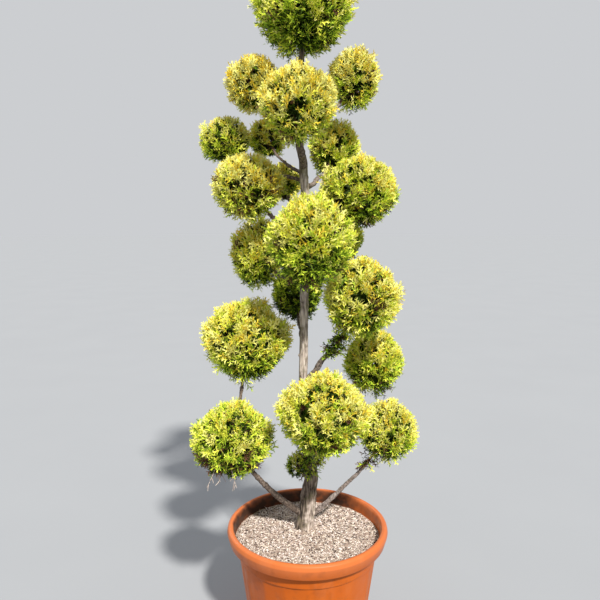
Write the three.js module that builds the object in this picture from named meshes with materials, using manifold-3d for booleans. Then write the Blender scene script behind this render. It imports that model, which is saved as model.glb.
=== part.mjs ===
// A leyland cypress trained and clipped as a pompon tree, in its round plastic pot.
// Millimetres, +Z up. The origin is the centre of the pot's flat underside.
// Seen from the front (-Y), bearing 0 is to the right, 90 to the back, 180 to the left, 270 to the front.
import * as THREE from "three";
import { mergeVertices } from "three/addons/utils/BufferGeometryUtils.js";
import Module from "manifold-3d";

// Driving dimensions of the pot. The body tapers from its foot to a band under the rolled collar,
// and steps out there to the wider neck, whose wall the collar hangs over.
const POT_HEIGHT = 480;
const RIM_RADIUS = 300;
const BASE_RADIUS = 205;
const BODY_TOP_RADIUS = 254;
const NECK_RADIUS = 272;
const WALL = 4;
const FLOOR_RADIUS = BASE_RADIUS - WALL - 5;
const FLOOR_THICKNESS = 14;
const COLLAR_HEIGHT = 56;
const COLLAR_FOOT = POT_HEIGHT - COLLAR_HEIGHT;
const BAND_HEIGHT = 54;
const BAND_FOOT = COLLAR_FOOT - BAND_HEIGHT;
const BAND_STEP = 5;
const SHOULDER_FOOT = COLLAR_FOOT - 10;
const SHOULDER_TOP = COLLAR_FOOT + 4;
const POT_SEGMENTS = 64;
const PANEL_HALF_ANGLE = 56;
const PANEL_FLUTES = 6;
const SIDE_RIBS = 3;
const FLUTE_DEPTH = 2.5;
const RIB_HEIGHT = 3;
const DRAIN_SLOTS = 8;
const DRAIN_SLOT_SIZE = { length: 34, depth: 16, height: 9 };

// Driving dimensions of the soil
const SOIL_DEPTH_BELOW_RIM = 48;
const SOIL_LEVEL = POT_HEIGHT - SOIL_DEPTH_BELOW_RIM;
const SOIL_SEGMENTS = 32;
const SOIL_CLEARANCE = 1;
const SOIL_UNEVENNESS = 3;
const SOIL_FLAT_RADIUS = 100;
const SEAT_GAP = 0.35;

// Driving dimensions of the trunk: [height, x, y, radius] from below the soil's level,
// where it is cut off flat, to the tip inside the top pompon
const TRUNK_STATIONS = [
  [400, -15, 54, 34],
  [560, 2, 45, 30],
  [650, 13, 38, 24.5],
  [800, 2, 34, 20],
  [1000, -16, 32, 15.5],
  [1320, -12, 28, 15],
  [1700, -9, 32, 15.5],
  [1800, -15, 31, 15],
  [1880, -30, 30, 13],
  [2220, -22, 30, 8],
];
const FLARE = 4;
const FLARE_HEIGHT = 30;
const TRUNK_SIDES = 10;
const TRUNK_STEPS = 16;

// The boughs: how far they bend, how much they swell at the fork and how soon the swelling ends
const BOUGH_BEND = 0.3;
const BOUGH_SWELL = 0.3;
const BOUGH_SWELL_FADE = 9;
const BOUGH_SIDES = 5;
const BOUGH_STEPS = 4;

// Each pompon: its centre's height, bearing and reach from the trunk, its radius across and upwards,
// how far its upper and its lower flanks are drawn in, the height where its bough leaves the trunk, or the
// pompon that the bough rises out of, and the bough's radii at the fork and at the tip
const POMPONS = [
  ["base_left", 831, 203, 294, 168, 153, 0.08, 0.12, 478, 12, 8],
  ["base_front", 961, 286, 236, 179, 163, 0.12, 0.10, 690, 20, 14],
  ["base_right", 829, 357, 299, 121, 129, 0.04, 0.04, 458, 9, 5],
  ["base_tuft", 716, 236, 84, 50, 58, 0, 0, 640, 6, 5],
  ["base_back", 868, 67, 230, 124, 118, 0.05, 0.05, 640, 11, 7],
  ["low_left", 1170, 188, 208, 182, 174, 0.08, 0.16, "base_left", 7, 5.5],
  ["low_right", 1059, 24, 301, 126, 147, 0.04, 0.02, 905, 10, 7],
  ["low_back", 1320, 98, 211, 114, 131, 0.04, 0.05, 1160, 10, 7],
  ["waist_right", 1334, 344, 207, 152, 163, 0.07, 0.04, 1010, 11, 7],
  ["waist_front", 1541, 274, 236, 164, 178, 0.12, 0.12, 1370, 12, 9],
  ["waist_left", 1476, 148, 208, 118, 152, 0.05, 0.04, 1400, 9, 7],
  ["waist_back", 1530, 62, 258, 126, 126, 0.05, 0.05, 1350, 10, 7],
  ["mid_left", 1722, 190, 203, 146, 132, 0.08, 0.06, 1560, 10, 7],
  ["mid_right", 1703, 0, 188, 156, 145, 0.06, 0.05, 1530, 10, 7],
  ["mid_back", 1753, 113, 218, 93, 85, 0.05, 0.02, 1620, 8, 6],
  ["high_front", 1971, 268, 185, 144, 147, 0.03, 0.16, 1790, 10, 8],
  ["high_left", 2074, 173, 170, 106, 114, 0, 0.04, 1880, 8, 6],
  ["high_right", 2106, 26, 216, 106, 130, 0.04, 0.08, 1900, 8, 6],
  ["high_back", 1873, 59, 263, 110, 134, 0.05, 0.04, 1720, 9, 6],
  ["shoulder_left", 1898, 156, 299, 109, 97, 0.06, 0.03, 1745, 6, 4.5],
  ["shoulder_back", 1923, 116, 287, 90, 90, 0.05, 0.03, 1770, 6, 4.5],
  ["crown_back", 2096, 88, 237, 123, 105, 0.05, 0.05, 1930, 7, 5],
].map(([name, height, bearing, reach, across, upward, peak, draw, fork, thick, thin]) => {
  return { name, height, bearing, reach, across, upward, peak, draw, fork, thick, thin };
});
const TOP = {
  name: "top",
  height: 2325,
  bearing: 0,
  reach: 6,
  across: 190,
  upward: 182,
  peak: 0,
  draw: 0.08,
};
const FIRST_SEED = 100;
const TOP_SEED = 99;

// How a pompon is made up
const LUMPS = 9;
const LUMP_WIDTH = 0.3;
const LUMP_HEIGHT = [0.96, 1.04];
const DENT_SHARE = 0.12;
const CORE_SHARE = 0.88;
const CORE_ROUGHNESS = 0.035;
const TIP_SHARE = [1, 1.07];
const FURTHEST_TIP_SHARE = 0.998;
const BOUGH_END_SHARE = 0.88;
const STEM_DEPTH_SHARE = 0.45;
const SPRAYS_PER_M2 = 29;
const SPRAY_WIDTH_SHARE = [0.85, 1.1];
const SPRAY_THICKNESS = 2.6;
const SHOOTS_PER_M2 = 17;
const FEWEST_BLADES = 5;
const SHOOT_WIDTH_SHARE = [0.36, 0.46];
const SHOOT_FLATNESS = 0.4;
const BLADE_ROOT_SHARE = 0.57;
const LEAN_UP = 0.3;
const LEAN_ASIDE = 0.38;
const TURN_JITTER = 0.35;
const LIMB_CLEARANCE = 7;
const LIMB_SAMPLE_STEP = 15;
const BOUGH_SAMPLES = 24;
const GOLDEN_ANGLE = Math.PI * (3 - Math.sqrt(5));

const UP = new THREE.Vector3(0, 0, 1);
const wasm = await Module();
wasm.setup();

// A repeatable stream of numbers from 0 to 1
function randomStream(seed) {
  let state = seed >>> 0;
  return () => {
    state = (state + 0x6d2b79f5) >>> 0;
    let t = state;
    t = Math.imul(t ^ (t >>> 15), t | 1);
    t ^= t + Math.imul(t ^ (t >>> 7), t | 61);
    return ((t ^ (t >>> 14)) >>> 0) / 4294967296;
  };
}

const between = (random, low, high) => low + (high - low) * random();

// Solids for cutting and joining, and back to geometry
function toSolid(geometry) {
  const bare = geometry.clone();
  bare.deleteAttribute("normal");
  bare.deleteAttribute("uv");
  const merged = mergeVertices(bare, 1e-3);
  return new wasm.Manifold(
    new wasm.Mesh({
      numProp: 3,
      vertProperties: new Float32Array(merged.attributes.position.array),
      triVerts: new Uint32Array(merged.index.array),
    }),
  );
}

function toGeometry(solid) {
  const mesh = solid.getMesh();
  const geometry = new THREE.BufferGeometry();
  geometry.setAttribute("position", new THREE.BufferAttribute(new Float32Array(mesh.vertProperties), 3));
  geometry.setIndex(new THREE.BufferAttribute(new Uint32Array(mesh.triVerts), 1));
  geometry.computeVertexNormals();
  return geometry;
}

function largestBody(solid) {
  return solid.decompose().sort((a, b) => b.volume() - a.volume())[0];
}

// A closed skin through rings of equal point counts, with a fan at each end
function loft(rings) {
  const count = rings[0].length;
  const points = rings.flat();
  const index = [];
  for (let r = 0; r + 1 < rings.length; r++) {
    for (let s = 0; s < count; s++) {
      const a = r * count + s;
      const b = r * count + ((s + 1) % count);
      index.push(a, b, b + count, a, b + count, a + count);
    }
  }
  const closeEnd = (first, flip) => {
    const middle = new THREE.Vector3();
    for (let s = 0; s < count; s++) middle.add(points[first + s]);
    points.push(middle.divideScalar(count));
    const hub = points.length - 1;
    for (let s = 0; s < count; s++) {
      const a = first + s;
      const b = first + ((s + 1) % count);
      index.push(...(flip ? [hub, b, a] : [hub, a, b]));
    }
  };
  closeEnd(0, true);
  closeEnd((rings.length - 1) * count, false);
  const geometry = new THREE.BufferGeometry().setFromPoints(points);
  geometry.setIndex(index);
  geometry.computeVertexNormals();
  return geometry;
}

// A closed tube along a curve, whose radius depends on the share of the way along it
function taperedTube(curve, radiusAt, sides, steps) {
  const frames = curve.computeFrenetFrames(steps, false);
  const rings = [];
  for (let i = 0; i <= steps; i++) {
    const centre = curve.getPointAt(i / steps);
    const ring = [];
    for (let s = 0; s < sides; s++) {
      const turn = (2 * Math.PI * s) / sides;
      const radius = radiusAt(i / steps);
      ring.push(
        centre
          .clone()
          .addScaledVector(frames.normals[i], radius * Math.cos(turn))
          .addScaledVector(frames.binormals[i], radius * Math.sin(turn)),
      );
    }
    rings.push(ring);
  }
  return loft(rings);
}

// The trunk's centre line and radius at a height
function trunkStation(height) {
  const last = TRUNK_STATIONS.length - 1;
  let i = 0;
  while (i < last - 1 && TRUNK_STATIONS[i + 1][0] < height) i++;
  const [below, above] = [TRUNK_STATIONS[i], TRUNK_STATIONS[i + 1]];
  const share = (height - below[0]) / (above[0] - below[0]);
  const eased = share * share * (3 - 2 * share);
  return [1, 2, 3].map((k) => THREE.MathUtils.lerp(below[k], above[k], k === 3 ? share : eased));
}

function trunkAt(height) {
  const [x, y] = trunkStation(height);
  return new THREE.Vector3(x, y, height);
}

function trunkRadius(height) {
  return trunkStation(height)[2] + FLARE * Math.exp((SOIL_LEVEL - height) / FLARE_HEIGHT);
}

// The trunk in level rings. Two slow waves round the section give the bark's main ridges.
function trunkGeometry(growth) {
  const foot = SOIL_LEVEL + SEAT_GAP - growth;
  const tip = TRUNK_STATIONS.at(-1)[0] + growth;
  const rings = [];
  for (let i = 0; i <= TRUNK_STEPS; i++) {
    const height = THREE.MathUtils.lerp(foot, tip, i / TRUNK_STEPS);
    const centre = trunkAt(height);
    const ring = [];
    for (let s = 0; s < TRUNK_SIDES; s++) {
      const turn = (2 * Math.PI * s) / TRUNK_SIDES;
      const ridges = 1 + 0.05 * Math.sin(3 * turn + height / 350) + 0.03 * Math.sin(5 * turn - height / 200);
      const radius = growth + trunkRadius(height) * ridges;
      ring.push(centre.clone().add(new THREE.Vector3(radius * Math.cos(turn), radius * Math.sin(turn), 0)));
    }
    rings.push(ring);
  }
  return loft(rings);
}

// Where a pompon is, and how far its space goes in a direction from its centre
function pomponCentre(pompon) {
  const turn = THREE.MathUtils.degToRad(pompon.bearing);
  const onTrunk = trunkAt(pompon.height);
  return new THREE.Vector3(
    onTrunk.x + pompon.reach * Math.cos(turn),
    onTrunk.y + pompon.reach * Math.sin(turn),
    pompon.height,
  );
}

function shareOfSpace(pompon, point) {
  const d = point.clone().sub(pomponCentre(pompon));
  return Math.hypot(Math.hypot(d.x, d.y) / pompon.across, d.z / pompon.upward);
}

// The lumps that a pompon is clipped into, spread by an even spiral, some of them taller than others
function clippedLumps(random) {
  const start = between(random, 0, 2 * Math.PI);
  const lumps = [];
  for (let i = 0; i < LUMPS; i++) {
    const z = 1 - (2 * (i + 0.5)) / LUMPS + between(random, -0.06, 0.06);
    const turn = start + i * GOLDEN_ANGLE + between(random, -0.3, 0.3);
    const flat = Math.sqrt(1 - z * z);
    const heading = new THREE.Vector3(flat * Math.cos(turn), flat * Math.sin(turn), z);
    lumps.push({ heading, height: between(random, ...LUMP_HEIGHT) });
  }
  return lumps;
}

// What share of the space the leaves fill in a direction: most on a tall lump's middle, less between lumps,
// and less again on the flanks, which are drawn in where the ball was clipped narrower above or beneath
function filledShare(pompon, direction, lumps) {
  const lumpShares = lumps.map(({ heading, height }) => {
    const onLump = THREE.MathUtils.clamp(1 - (1 - heading.dot(direction)) / LUMP_WIDTH, 0, 1);
    return height - DENT_SHARE * (1 - onLump);
  });
  const beside = 2 * Math.hypot(direction.x, direction.y);
  const drawnIn = (direction.z > 0 ? pompon.peak : -pompon.draw) * direction.z * beside;
  return Math.min(1, Math.max(...lumpShares)) - drawnIn;
}

// The distance from a point inside, along a heading, to the space's skin shrunk to a share of its size
function distanceToSkin(pompon, inside, heading, share) {
  const shrink = new THREE.Vector3(1 / pompon.across, 1 / pompon.across, 1 / pompon.upward);
  const from = inside.clone().sub(pomponCentre(pompon)).multiply(shrink);
  const step = heading.clone().multiply(shrink);
  const along = from.dot(step);
  const square = step.lengthSq();
  return (-along + Math.sqrt(along ** 2 + square * (share ** 2 - from.lengthSq()))) / square;
}

// Where a bough starts: on the trunk, or in the middle of the pompon that carries it
function forkPlace(pompon) {
  const carrier = POMPONS.find(({ name }) => name === pompon.fork);
  return carrier ? pomponCentre(carrier) : trunkAt(pompon.fork);
}

// A bough rises from its fork and turns towards its pompon's centre, from below and inside
function boughCurve(pompon) {
  const start = forkPlace(pompon);
  const centre = pomponCentre(pompon);
  const inward = start.clone().sub(centre).normalize().multiplyScalar(0.75);
  const entry = inward.addScaledVector(UP, -0.25).normalize();
  const tip = centre.clone().addScaledVector(entry, distanceToSkin(pompon, centre, entry, BOUGH_END_SHARE));
  const bend = tip.clone().addScaledVector(entry, BOUGH_BEND * tip.distanceTo(start));
  return new THREE.QuadraticBezierCurve3(start, bend, tip);
}

// A bough's tapering limb, swollen at its fork, or the same limb grown on all sides
function boughGeometry(pompon, growth) {
  const curve = boughCurve(pompon);
  const swell = (share) => BOUGH_SWELL * pompon.thick * Math.exp(-BOUGH_SWELL_FADE * share);
  const radiusAt = (share) => THREE.MathUtils.lerp(pompon.thick, pompon.thin, share) + swell(share) + growth;
  curve.v0.addScaledVector(curve.getTangent(0), -growth);
  curve.v2.addScaledVector(curve.getTangent(1), growth);
  return taperedTube(curve, radiusAt, BOUGH_SIDES, BOUGH_STEPS);
}

// The short stem that a pompon's twigs grow from: it starts just clear of the bough's tip
function stemGeometry(pompon) {
  const curve = boughCurve(pompon);
  const tip = curve.getPointAt(1);
  const heading = curve.getTangentAt(1);
  const end = tip.clone().addScaledVector(heading, STEM_DEPTH_SHARE * pompon.across);
  const line = new THREE.LineCurve3(tip.addScaledVector(heading, SEAT_GAP), end);
  return taperedTube(line, () => pompon.thin, BOUGH_SIDES, 1);
}

// The dense inside of a clipped pompon: a ball with dents and bulges
function coreGeometry(pompon, lumps, random) {
  const ball = new THREE.IcosahedronGeometry(1, 1);
  ball.deleteAttribute("normal");
  ball.deleteAttribute("uv");
  const merged = mergeVertices(ball, 1e-3);
  const place = merged.attributes.position;
  const centre = pomponCentre(pompon);
  const point = new THREE.Vector3();
  for (let i = 0; i < place.count; i++) {
    point.fromBufferAttribute(place, i).normalize();
    const rough = between(random, -CORE_ROUGHNESS, CORE_ROUGHNESS);
    const share = CORE_SHARE * filledShare(pompon, point, lumps) + rough;
    point.multiplyScalar(distanceToSkin(pompon, centre, point, share)).add(centre);
    place.setXYZ(i, point.x, point.y, point.z);
  }
  return merged;
}

// A flat spray of scale leaves: a blade with a tooth on each side of its tip
function sprayGeometry(length, width) {
  const outline = new THREE.Shape();
  outline.moveTo(-0.09 * length, 0);
  outline.lineTo(-0.5 * width, 0.66 * length);
  outline.lineTo(-0.13 * width, 0.6 * length);
  outline.lineTo(0, length);
  outline.lineTo(0.15 * width, 0.54 * length);
  outline.lineTo(0.5 * width, 0.58 * length);
  outline.lineTo(0.09 * length, 0);
  const blade = new THREE.ExtrudeGeometry(outline, { depth: SPRAY_THICKNESS, bevelEnabled: false });
  return blade.translate(0, 0, -SPRAY_THICKNESS / 2);
}

// A single young shoot: a slim leaf of eight faces
function shootGeometry(length, width) {
  const leaf = new THREE.OctahedronGeometry(1, 0);
  leaf.scale(width / 2, length / 2, (SHOOT_FLATNESS * width) / 2);
  return leaf.translate(0, length / 2, 0);
}

// Turns a blade that grows along +Y so that it grows from base along heading, rolled about it
function growFrom(blade, base, heading, roll) {
  const turn = new THREE.Quaternion().setFromUnitVectors(new THREE.Vector3(0, 1, 0), heading);
  turn.multiply(new THREE.Quaternion().setFromAxisAngle(new THREE.Vector3(0, 1, 0), roll));
  return blade.applyMatrix4(new THREE.Matrix4().compose(base, turn, new THREE.Vector3(1, 1, 1)));
}

// Sample points along every limb, each with its radius, for keeping leaves off the limbs
function limbSamples() {
  const samples = [];
  for (let height = SOIL_LEVEL; height < TRUNK_STATIONS.at(-1)[0]; height += LIMB_SAMPLE_STEP) {
    samples.push([trunkAt(height), trunkRadius(height)]);
  }
  for (const pompon of POMPONS) {
    const points = boughCurve(pompon).getSpacedPoints(BOUGH_SAMPLES);
    for (const point of points) samples.push([point, pompon.thick]);
  }
  return samples;
}

const LIMBS = limbSamples();

// True if every corner keeps to the pompon's own space and off the limbs
function staysClear(pompon, geometry) {
  const place = geometry.attributes.position;
  const corner = new THREE.Vector3();
  for (let i = 0; i < place.count; i++) {
    corner.fromBufferAttribute(place, i);
    if (shareOfSpace(pompon, corner) > 1) return false;
    if (LIMBS.some(([at, radius]) => at.distanceTo(corner) < radius + LIMB_CLEARANCE)) return false;
  }
  return true;
}

// Grows blades from an even spiral over the core, and skips each that would leave the space or touch a limb
function growBlades(pompon, lumps, count, random, makeBlade) {
  const centre = pomponCentre(pompon);
  const blades = [];
  for (let i = 0; i < count; i++) {
    const z = 1 - (2 * (i + 0.5)) / count;
    const around = i * GOLDEN_ANGLE + between(random, -TURN_JITTER, TURN_JITTER);
    const flat = Math.sqrt(1 - z * z);
    const outward = new THREE.Vector3(flat * Math.cos(around), flat * Math.sin(around), z);
    const aside = new THREE.Vector3(between(random, -1, 1), between(random, -1, 1), between(random, -1, 1));
    const heading = outward.clone().addScaledVector(UP, LEAN_UP);
    heading.addScaledVector(aside, LEAN_ASIDE).normalize();
    const base = centre.clone();
    base.addScaledVector(outward, distanceToSkin(pompon, centre, outward, BLADE_ROOT_SHARE));
    const grownShare = between(random, ...TIP_SHARE) * filledShare(pompon, outward, lumps);
    const tipShare = Math.min(grownShare, FURTHEST_TIP_SHARE);
    const length = distanceToSkin(pompon, base, heading, tipShare);
    const roll = between(random, 0, Math.PI);
    const blade = growFrom(makeBlade(length, random), base, heading, roll);
    if (staysClear(pompon, blade)) blades.push(toSolid(blade));
  }
  return blades;
}

// One pompon: its core, stem, sprays and shoots as one body, cut clear of the limbs that run up inside it
function pomponGeometry(pompon, seed, limbRooms) {
  const random = randomStream(seed);
  const squareMetres = 4 * Math.PI * pompon.across * pompon.upward * 1e-6;
  const countOf = (perSquareMetre) => Math.max(FEWEST_BLADES, Math.round(squareMetres * perSquareMetre));
  const lumps = clippedLumps(random);
  const core = toSolid(coreGeometry(pompon, lumps, random));
  const sprays = growBlades(pompon, lumps, countOf(SPRAYS_PER_M2), random, (length, next) =>
    sprayGeometry(length, length * between(next, ...SPRAY_WIDTH_SHARE)),
  );
  const shoots = growBlades(pompon, lumps, countOf(SHOOTS_PER_M2), random, (length, next) =>
    shootGeometry(length, length * between(next, ...SHOOT_WIDTH_SHARE)),
  );
  const pieces = [core, ...sprays, ...shoots];
  if (pompon.fork) pieces.push(toSolid(stemGeometry(pompon)));
  const joined = wasm.Manifold.union(pieces);
  return toGeometry(largestBody(limbRooms.reduce((solid, room) => solid.subtract(room), joined)));
}

// The pot's outline, up the outside, over the collar and down the inside:
// [radius, height, 1 where the wall has flutes and ribs]
function potOutline() {
  const bandRadius = BODY_TOP_RADIUS + BAND_STEP;
  return [
    [BASE_RADIUS - 6, 0, 0],
    [BASE_RADIUS, 8, 0],
    [BASE_RADIUS + 2, 26, 1],
    [BODY_TOP_RADIUS, BAND_FOOT, 1],
    [bandRadius, BAND_FOOT + 3, 0],
    [bandRadius + 4, COLLAR_FOOT - 6, 0],
    [NECK_RADIUS + WALL, COLLAR_FOOT + 3, 0],
    [NECK_RADIUS + WALL + 2, POT_HEIGHT - 12, 0],
    [RIM_RADIUS - 12, POT_HEIGHT - 14, 0],
    [RIM_RADIUS - 15, COLLAR_FOOT, 0],
    [RIM_RADIUS - 10, COLLAR_FOOT, 0],
    [RIM_RADIUS, POT_HEIGHT - 20, 0],
    [RIM_RADIUS - 3, POT_HEIGHT - 6, 0],
    [RIM_RADIUS - 11, POT_HEIGHT, 0],
    [RIM_RADIUS - 21, POT_HEIGHT - 2, 0],
    [NECK_RADIUS + 2, POT_HEIGHT - 12, 0],
    [NECK_RADIUS, SHOULDER_TOP, 0],
    [BODY_TOP_RADIUS, SHOULDER_FOOT, 0],
    [FLOOR_RADIUS, FLOOR_THICKNESS, 0],
  ];
}

// How far the wall stands out at a turn round the pot: fluted panels front and back, ribs at the sides
function wallRelief(turn) {
  const fromPanel = Math.abs((THREE.MathUtils.radToDeg(turn) % 180) - 90);
  if (fromPanel < PANEL_HALF_ANGLE) {
    const flute = (PANEL_FLUTES * (fromPanel + PANEL_HALF_ANGLE)) / (2 * PANEL_HALF_ANGLE);
    return -FLUTE_DEPTH * Math.abs(Math.sin(Math.PI * flute));
  }
  const rib = (SIDE_RIBS * (fromPanel - PANEL_HALF_ANGLE)) / (90 - PANEL_HALF_ANGLE);
  return RIB_HEIGHT * Math.abs(Math.sin(Math.PI * rib));
}

function potGeometry() {
  const rings = potOutline().map(([radius, height, relief]) => {
    const ring = [];
    for (let s = 0; s < POT_SEGMENTS; s++) {
      const turn = (2 * Math.PI * s) / POT_SEGMENTS;
      const r = radius + relief * wallRelief(turn);
      ring.push(new THREE.Vector3(r * Math.cos(turn), r * Math.sin(turn), height));
    }
    return ring;
  });
  let pot = toSolid(loft(rings));
  for (let i = 0; i < DRAIN_SLOTS; i++) {
    const { length, depth, height } = DRAIN_SLOT_SIZE;
    const slot = new THREE.BoxGeometry(depth, length, 2 * height);
    slot.translate(BASE_RADIUS, 0, 0);
    slot.rotateZ((2 * Math.PI * (i + 0.5)) / DRAIN_SLOTS);
    pot = pot.subtract(toSolid(slot));
  }
  return toGeometry(pot);
}

// The soil fills the pot just clear of its wall, a little uneven on top and flat where the trunk stands
function soilGeometry() {
  const random = randomStream(7);
  const profile = [
    [FLOOR_RADIUS - SOIL_CLEARANCE, FLOOR_THICKNESS + SEAT_GAP, 0],
    [BODY_TOP_RADIUS - SOIL_CLEARANCE, SHOULDER_FOOT + 0.6 * SOIL_CLEARANCE, 0],
    [NECK_RADIUS - 1.5 * SOIL_CLEARANCE, SHOULDER_TOP + 0.6 * SOIL_CLEARANCE, 0],
    [NECK_RADIUS - 50, SOIL_LEVEL - 3, SOIL_UNEVENNESS],
    [NECK_RADIUS - 120, SOIL_LEVEL - 1, SOIL_UNEVENNESS],
    [SOIL_FLAT_RADIUS, SOIL_LEVEL, 0],
  ];
  const rings = profile.map(([radius, height, unevenness]) => {
    const ring = [];
    for (let s = 0; s < SOIL_SEGMENTS; s++) {
      const turn = (2 * Math.PI * s) / SOIL_SEGMENTS;
      const bump = unevenness * between(random, -1, 0.6);
      ring.push(new THREE.Vector3(radius * Math.cos(turn), radius * Math.sin(turn), height + bump));
    }
    return ring;
  });
  return loft(rings);
}

const MATERIALS = {
  pot: new THREE.MeshStandardMaterial({ color: 0xc4602c, roughness: 0.5, metalness: 0 }),
  soil: new THREE.MeshStandardMaterial({ color: 0xa8937c, roughness: 0.95, metalness: 0 }),
  bark: new THREE.MeshStandardMaterial({ color: 0x7d6a58, roughness: 0.9, metalness: 0 }),
  foliage: new THREE.MeshStandardMaterial({ color: 0xa8ad2c, roughness: 0.75, metalness: 0 }),
};

function addMesh(group, name, geometry, material) {
  const mesh = new THREE.Mesh(geometry, MATERIALS[material]);
  mesh.name = name;
  group.add(mesh);
}

function buildTree() {
  const tree = new THREE.Group();
  addMesh(tree, "pot", potGeometry(), "pot");
  addMesh(tree, "soil", soilGeometry(), "soil");
  addMesh(tree, "trunk", trunkGeometry(0), "bark");
  const trunkRoom = toSolid(trunkGeometry(SEAT_GAP));
  POMPONS.forEach((pompon, i) => {
    const bough = largestBody(toSolid(boughGeometry(pompon, 0)).subtract(trunkRoom));
    const inside = POMPONS.filter((other) => other === pompon || other.fork === pompon.name);
    const rooms = inside.map((other) => toSolid(boughGeometry(other, SEAT_GAP)));
    addMesh(tree, "bough_" + pompon.name, toGeometry(bough), "bark");
    addMesh(tree, "pompon_" + pompon.name, pomponGeometry(pompon, FIRST_SEED + i, rooms), "foliage");
  });
  addMesh(tree, "pompon_" + TOP.name, pomponGeometry(TOP, TOP_SEED, [trunkRoom]), "foliage");
  return tree;
}

export default buildTree();
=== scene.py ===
import math
from types import SimpleNamespace

import bpy
import numpy as np
from mathutils import Matrix, Vector, noise


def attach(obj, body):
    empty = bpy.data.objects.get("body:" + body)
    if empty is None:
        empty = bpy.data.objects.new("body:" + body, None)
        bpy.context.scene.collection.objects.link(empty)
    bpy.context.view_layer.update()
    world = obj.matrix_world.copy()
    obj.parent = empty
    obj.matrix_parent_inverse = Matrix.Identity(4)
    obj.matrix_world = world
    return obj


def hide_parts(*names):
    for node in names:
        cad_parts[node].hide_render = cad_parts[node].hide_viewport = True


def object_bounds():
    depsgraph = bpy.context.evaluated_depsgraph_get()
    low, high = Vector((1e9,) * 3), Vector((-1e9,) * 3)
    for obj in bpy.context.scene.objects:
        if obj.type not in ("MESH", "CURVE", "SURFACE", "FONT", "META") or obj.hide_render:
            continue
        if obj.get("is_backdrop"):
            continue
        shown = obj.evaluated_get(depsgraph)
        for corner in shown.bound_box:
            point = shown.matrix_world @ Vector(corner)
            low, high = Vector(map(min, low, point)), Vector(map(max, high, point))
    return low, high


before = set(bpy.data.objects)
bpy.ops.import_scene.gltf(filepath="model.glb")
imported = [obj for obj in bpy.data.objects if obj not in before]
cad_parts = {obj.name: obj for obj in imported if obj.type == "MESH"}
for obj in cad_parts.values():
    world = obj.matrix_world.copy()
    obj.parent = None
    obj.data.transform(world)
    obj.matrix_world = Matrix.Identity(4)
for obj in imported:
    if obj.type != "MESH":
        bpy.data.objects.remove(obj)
cad_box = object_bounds()

MM = 0.001
UP = np.array([0.0, 0.0, 1.0])
FULL_TURN = 2 * math.pi
GOLDEN_ANGLE = math.pi * (3 - math.sqrt(5))

# The pot, as in the part
POT_HEIGHT = 0.480
RIM_RADIUS = 0.300
BASE_RADIUS = 0.205
BODY_TOP_RADIUS = 0.254
NECK_RADIUS = 0.272
WALL = 0.004
FLOOR_RADIUS = BASE_RADIUS - WALL - 0.005
FLOOR_THICKNESS = 0.014
COLLAR_FOOT = 0.424
BAND_FOOT = 0.370
BAND_STEP = 0.005
SHOULDER_FOOT = COLLAR_FOOT - 0.010
SHOULDER_TOP = COLLAR_FOOT + 0.004
PANEL_HALF_ANGLE = 56
PANEL_FLUTES = 6
SIDE_RIBS = 3
FLUTE_DEPTH = 0.0025
RIB_HEIGHT = 0.003
DRAIN_SLOTS = 8
DRAIN_SLOT_LENGTH = 0.034
DRAIN_SLOT_DEPTH = 0.016
DRAIN_SLOT_HEIGHT = 0.009

# The pot's mesh is finer than the part, with rounded corners, and its collar is paler between two heights,
# partly faded and partly a painted highlight
POT_SEGMENTS = 256
CORNER_RADIUS = 0.0018
CORNER_STEPS = 3
COLLAR_FADE_AND_HIGHLIGHT = (0.420, 0.455)

# Where the inside of the pot is darkened, partly by a wet-soil stain and partly by painted shade: the radii,
# the heights and the stretch of X, in which the darkening fades out; on the right it gives way to painted
# sunlight
STAIN_AND_SHADE_RADII = (0.284, 0.276)
STAIN_AND_SHADE_FOOT = (0.424, 0.430)
STAIN_AND_SHADE_FADE = (0.452, 0.480)
SUNLIT_INSIDE = (0.13, 0.25)

# The soil, raised round the trunk and lower at its edge, and the crumbs and fibres strewn on it
SOIL_LEVEL = 0.432
SOIL_RINGS = 64
SOIL_SEGMENTS = 180
SOIL_CLEARANCE = 0.001
SOIL_TOP_CLEARANCE = 0.0015
INNERMOST_RING = 0.0004
SOIL_LUMPS = [(24, 24, 0.0026), (70, 70, 0.0017), (190, 190, 0.0010)]
MOUND_HEIGHT = 0.004
MOUND_WIDTH = 0.05
EDGE_DROP = 0.003
EDGE_START = 0.2
EDGE_WIDTH = 0.07
CRUMBS = 5600
CRUMB_LENGTH = (0.0030, 0.0100)
FIBRES = 1100
FIBRE_LENGTH = (0.009, 0.026)
STREWN_OFF_WALL = 0.008
STREWN_OFF_TRUNK = 0.036
STREWN_TILT = 0.3
STREWN_LIFT = 0.10

# The kinds of crumb: the share of all crumbs, and the kind's dark and pale tone
CRUMB_KINDS = [
    ("crumbs_pale", 0.42, (0.46, 0.38, 0.34), (0.80, 0.72, 0.68)),
    ("crumbs_tan", 0.26, (0.22, 0.15, 0.12), (0.42, 0.31, 0.26)),
    ("crumbs_dark", 0.32, (0.03, 0.02, 0.018), (0.10, 0.07, 0.055)),
]

# The trunk's centre line, as in the part: height, x, y and radius in millimetres
TRUNK_STATIONS = MM * np.array([
    [400, -15, 54, 34],
    [560, 2, 45, 30],
    [650, 13, 38, 24.5],
    [800, 2, 34, 20],
    [1000, -16, 32, 15.5],
    [1320, -12, 28, 15],
    [1700, -9, 32, 15.5],
    [1800, -15, 31, 15],
    [1880, -30, 30, 13],
    [2220, -22, 30, 8],
])
FLARE = 0.004
FLARE_HEIGHT = 0.030
TRUNK_FOOT = 0.424
TRUNK_TIP = 2.220
TRUNK_SIDES = 56
TRUNK_RINGS = 460

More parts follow.
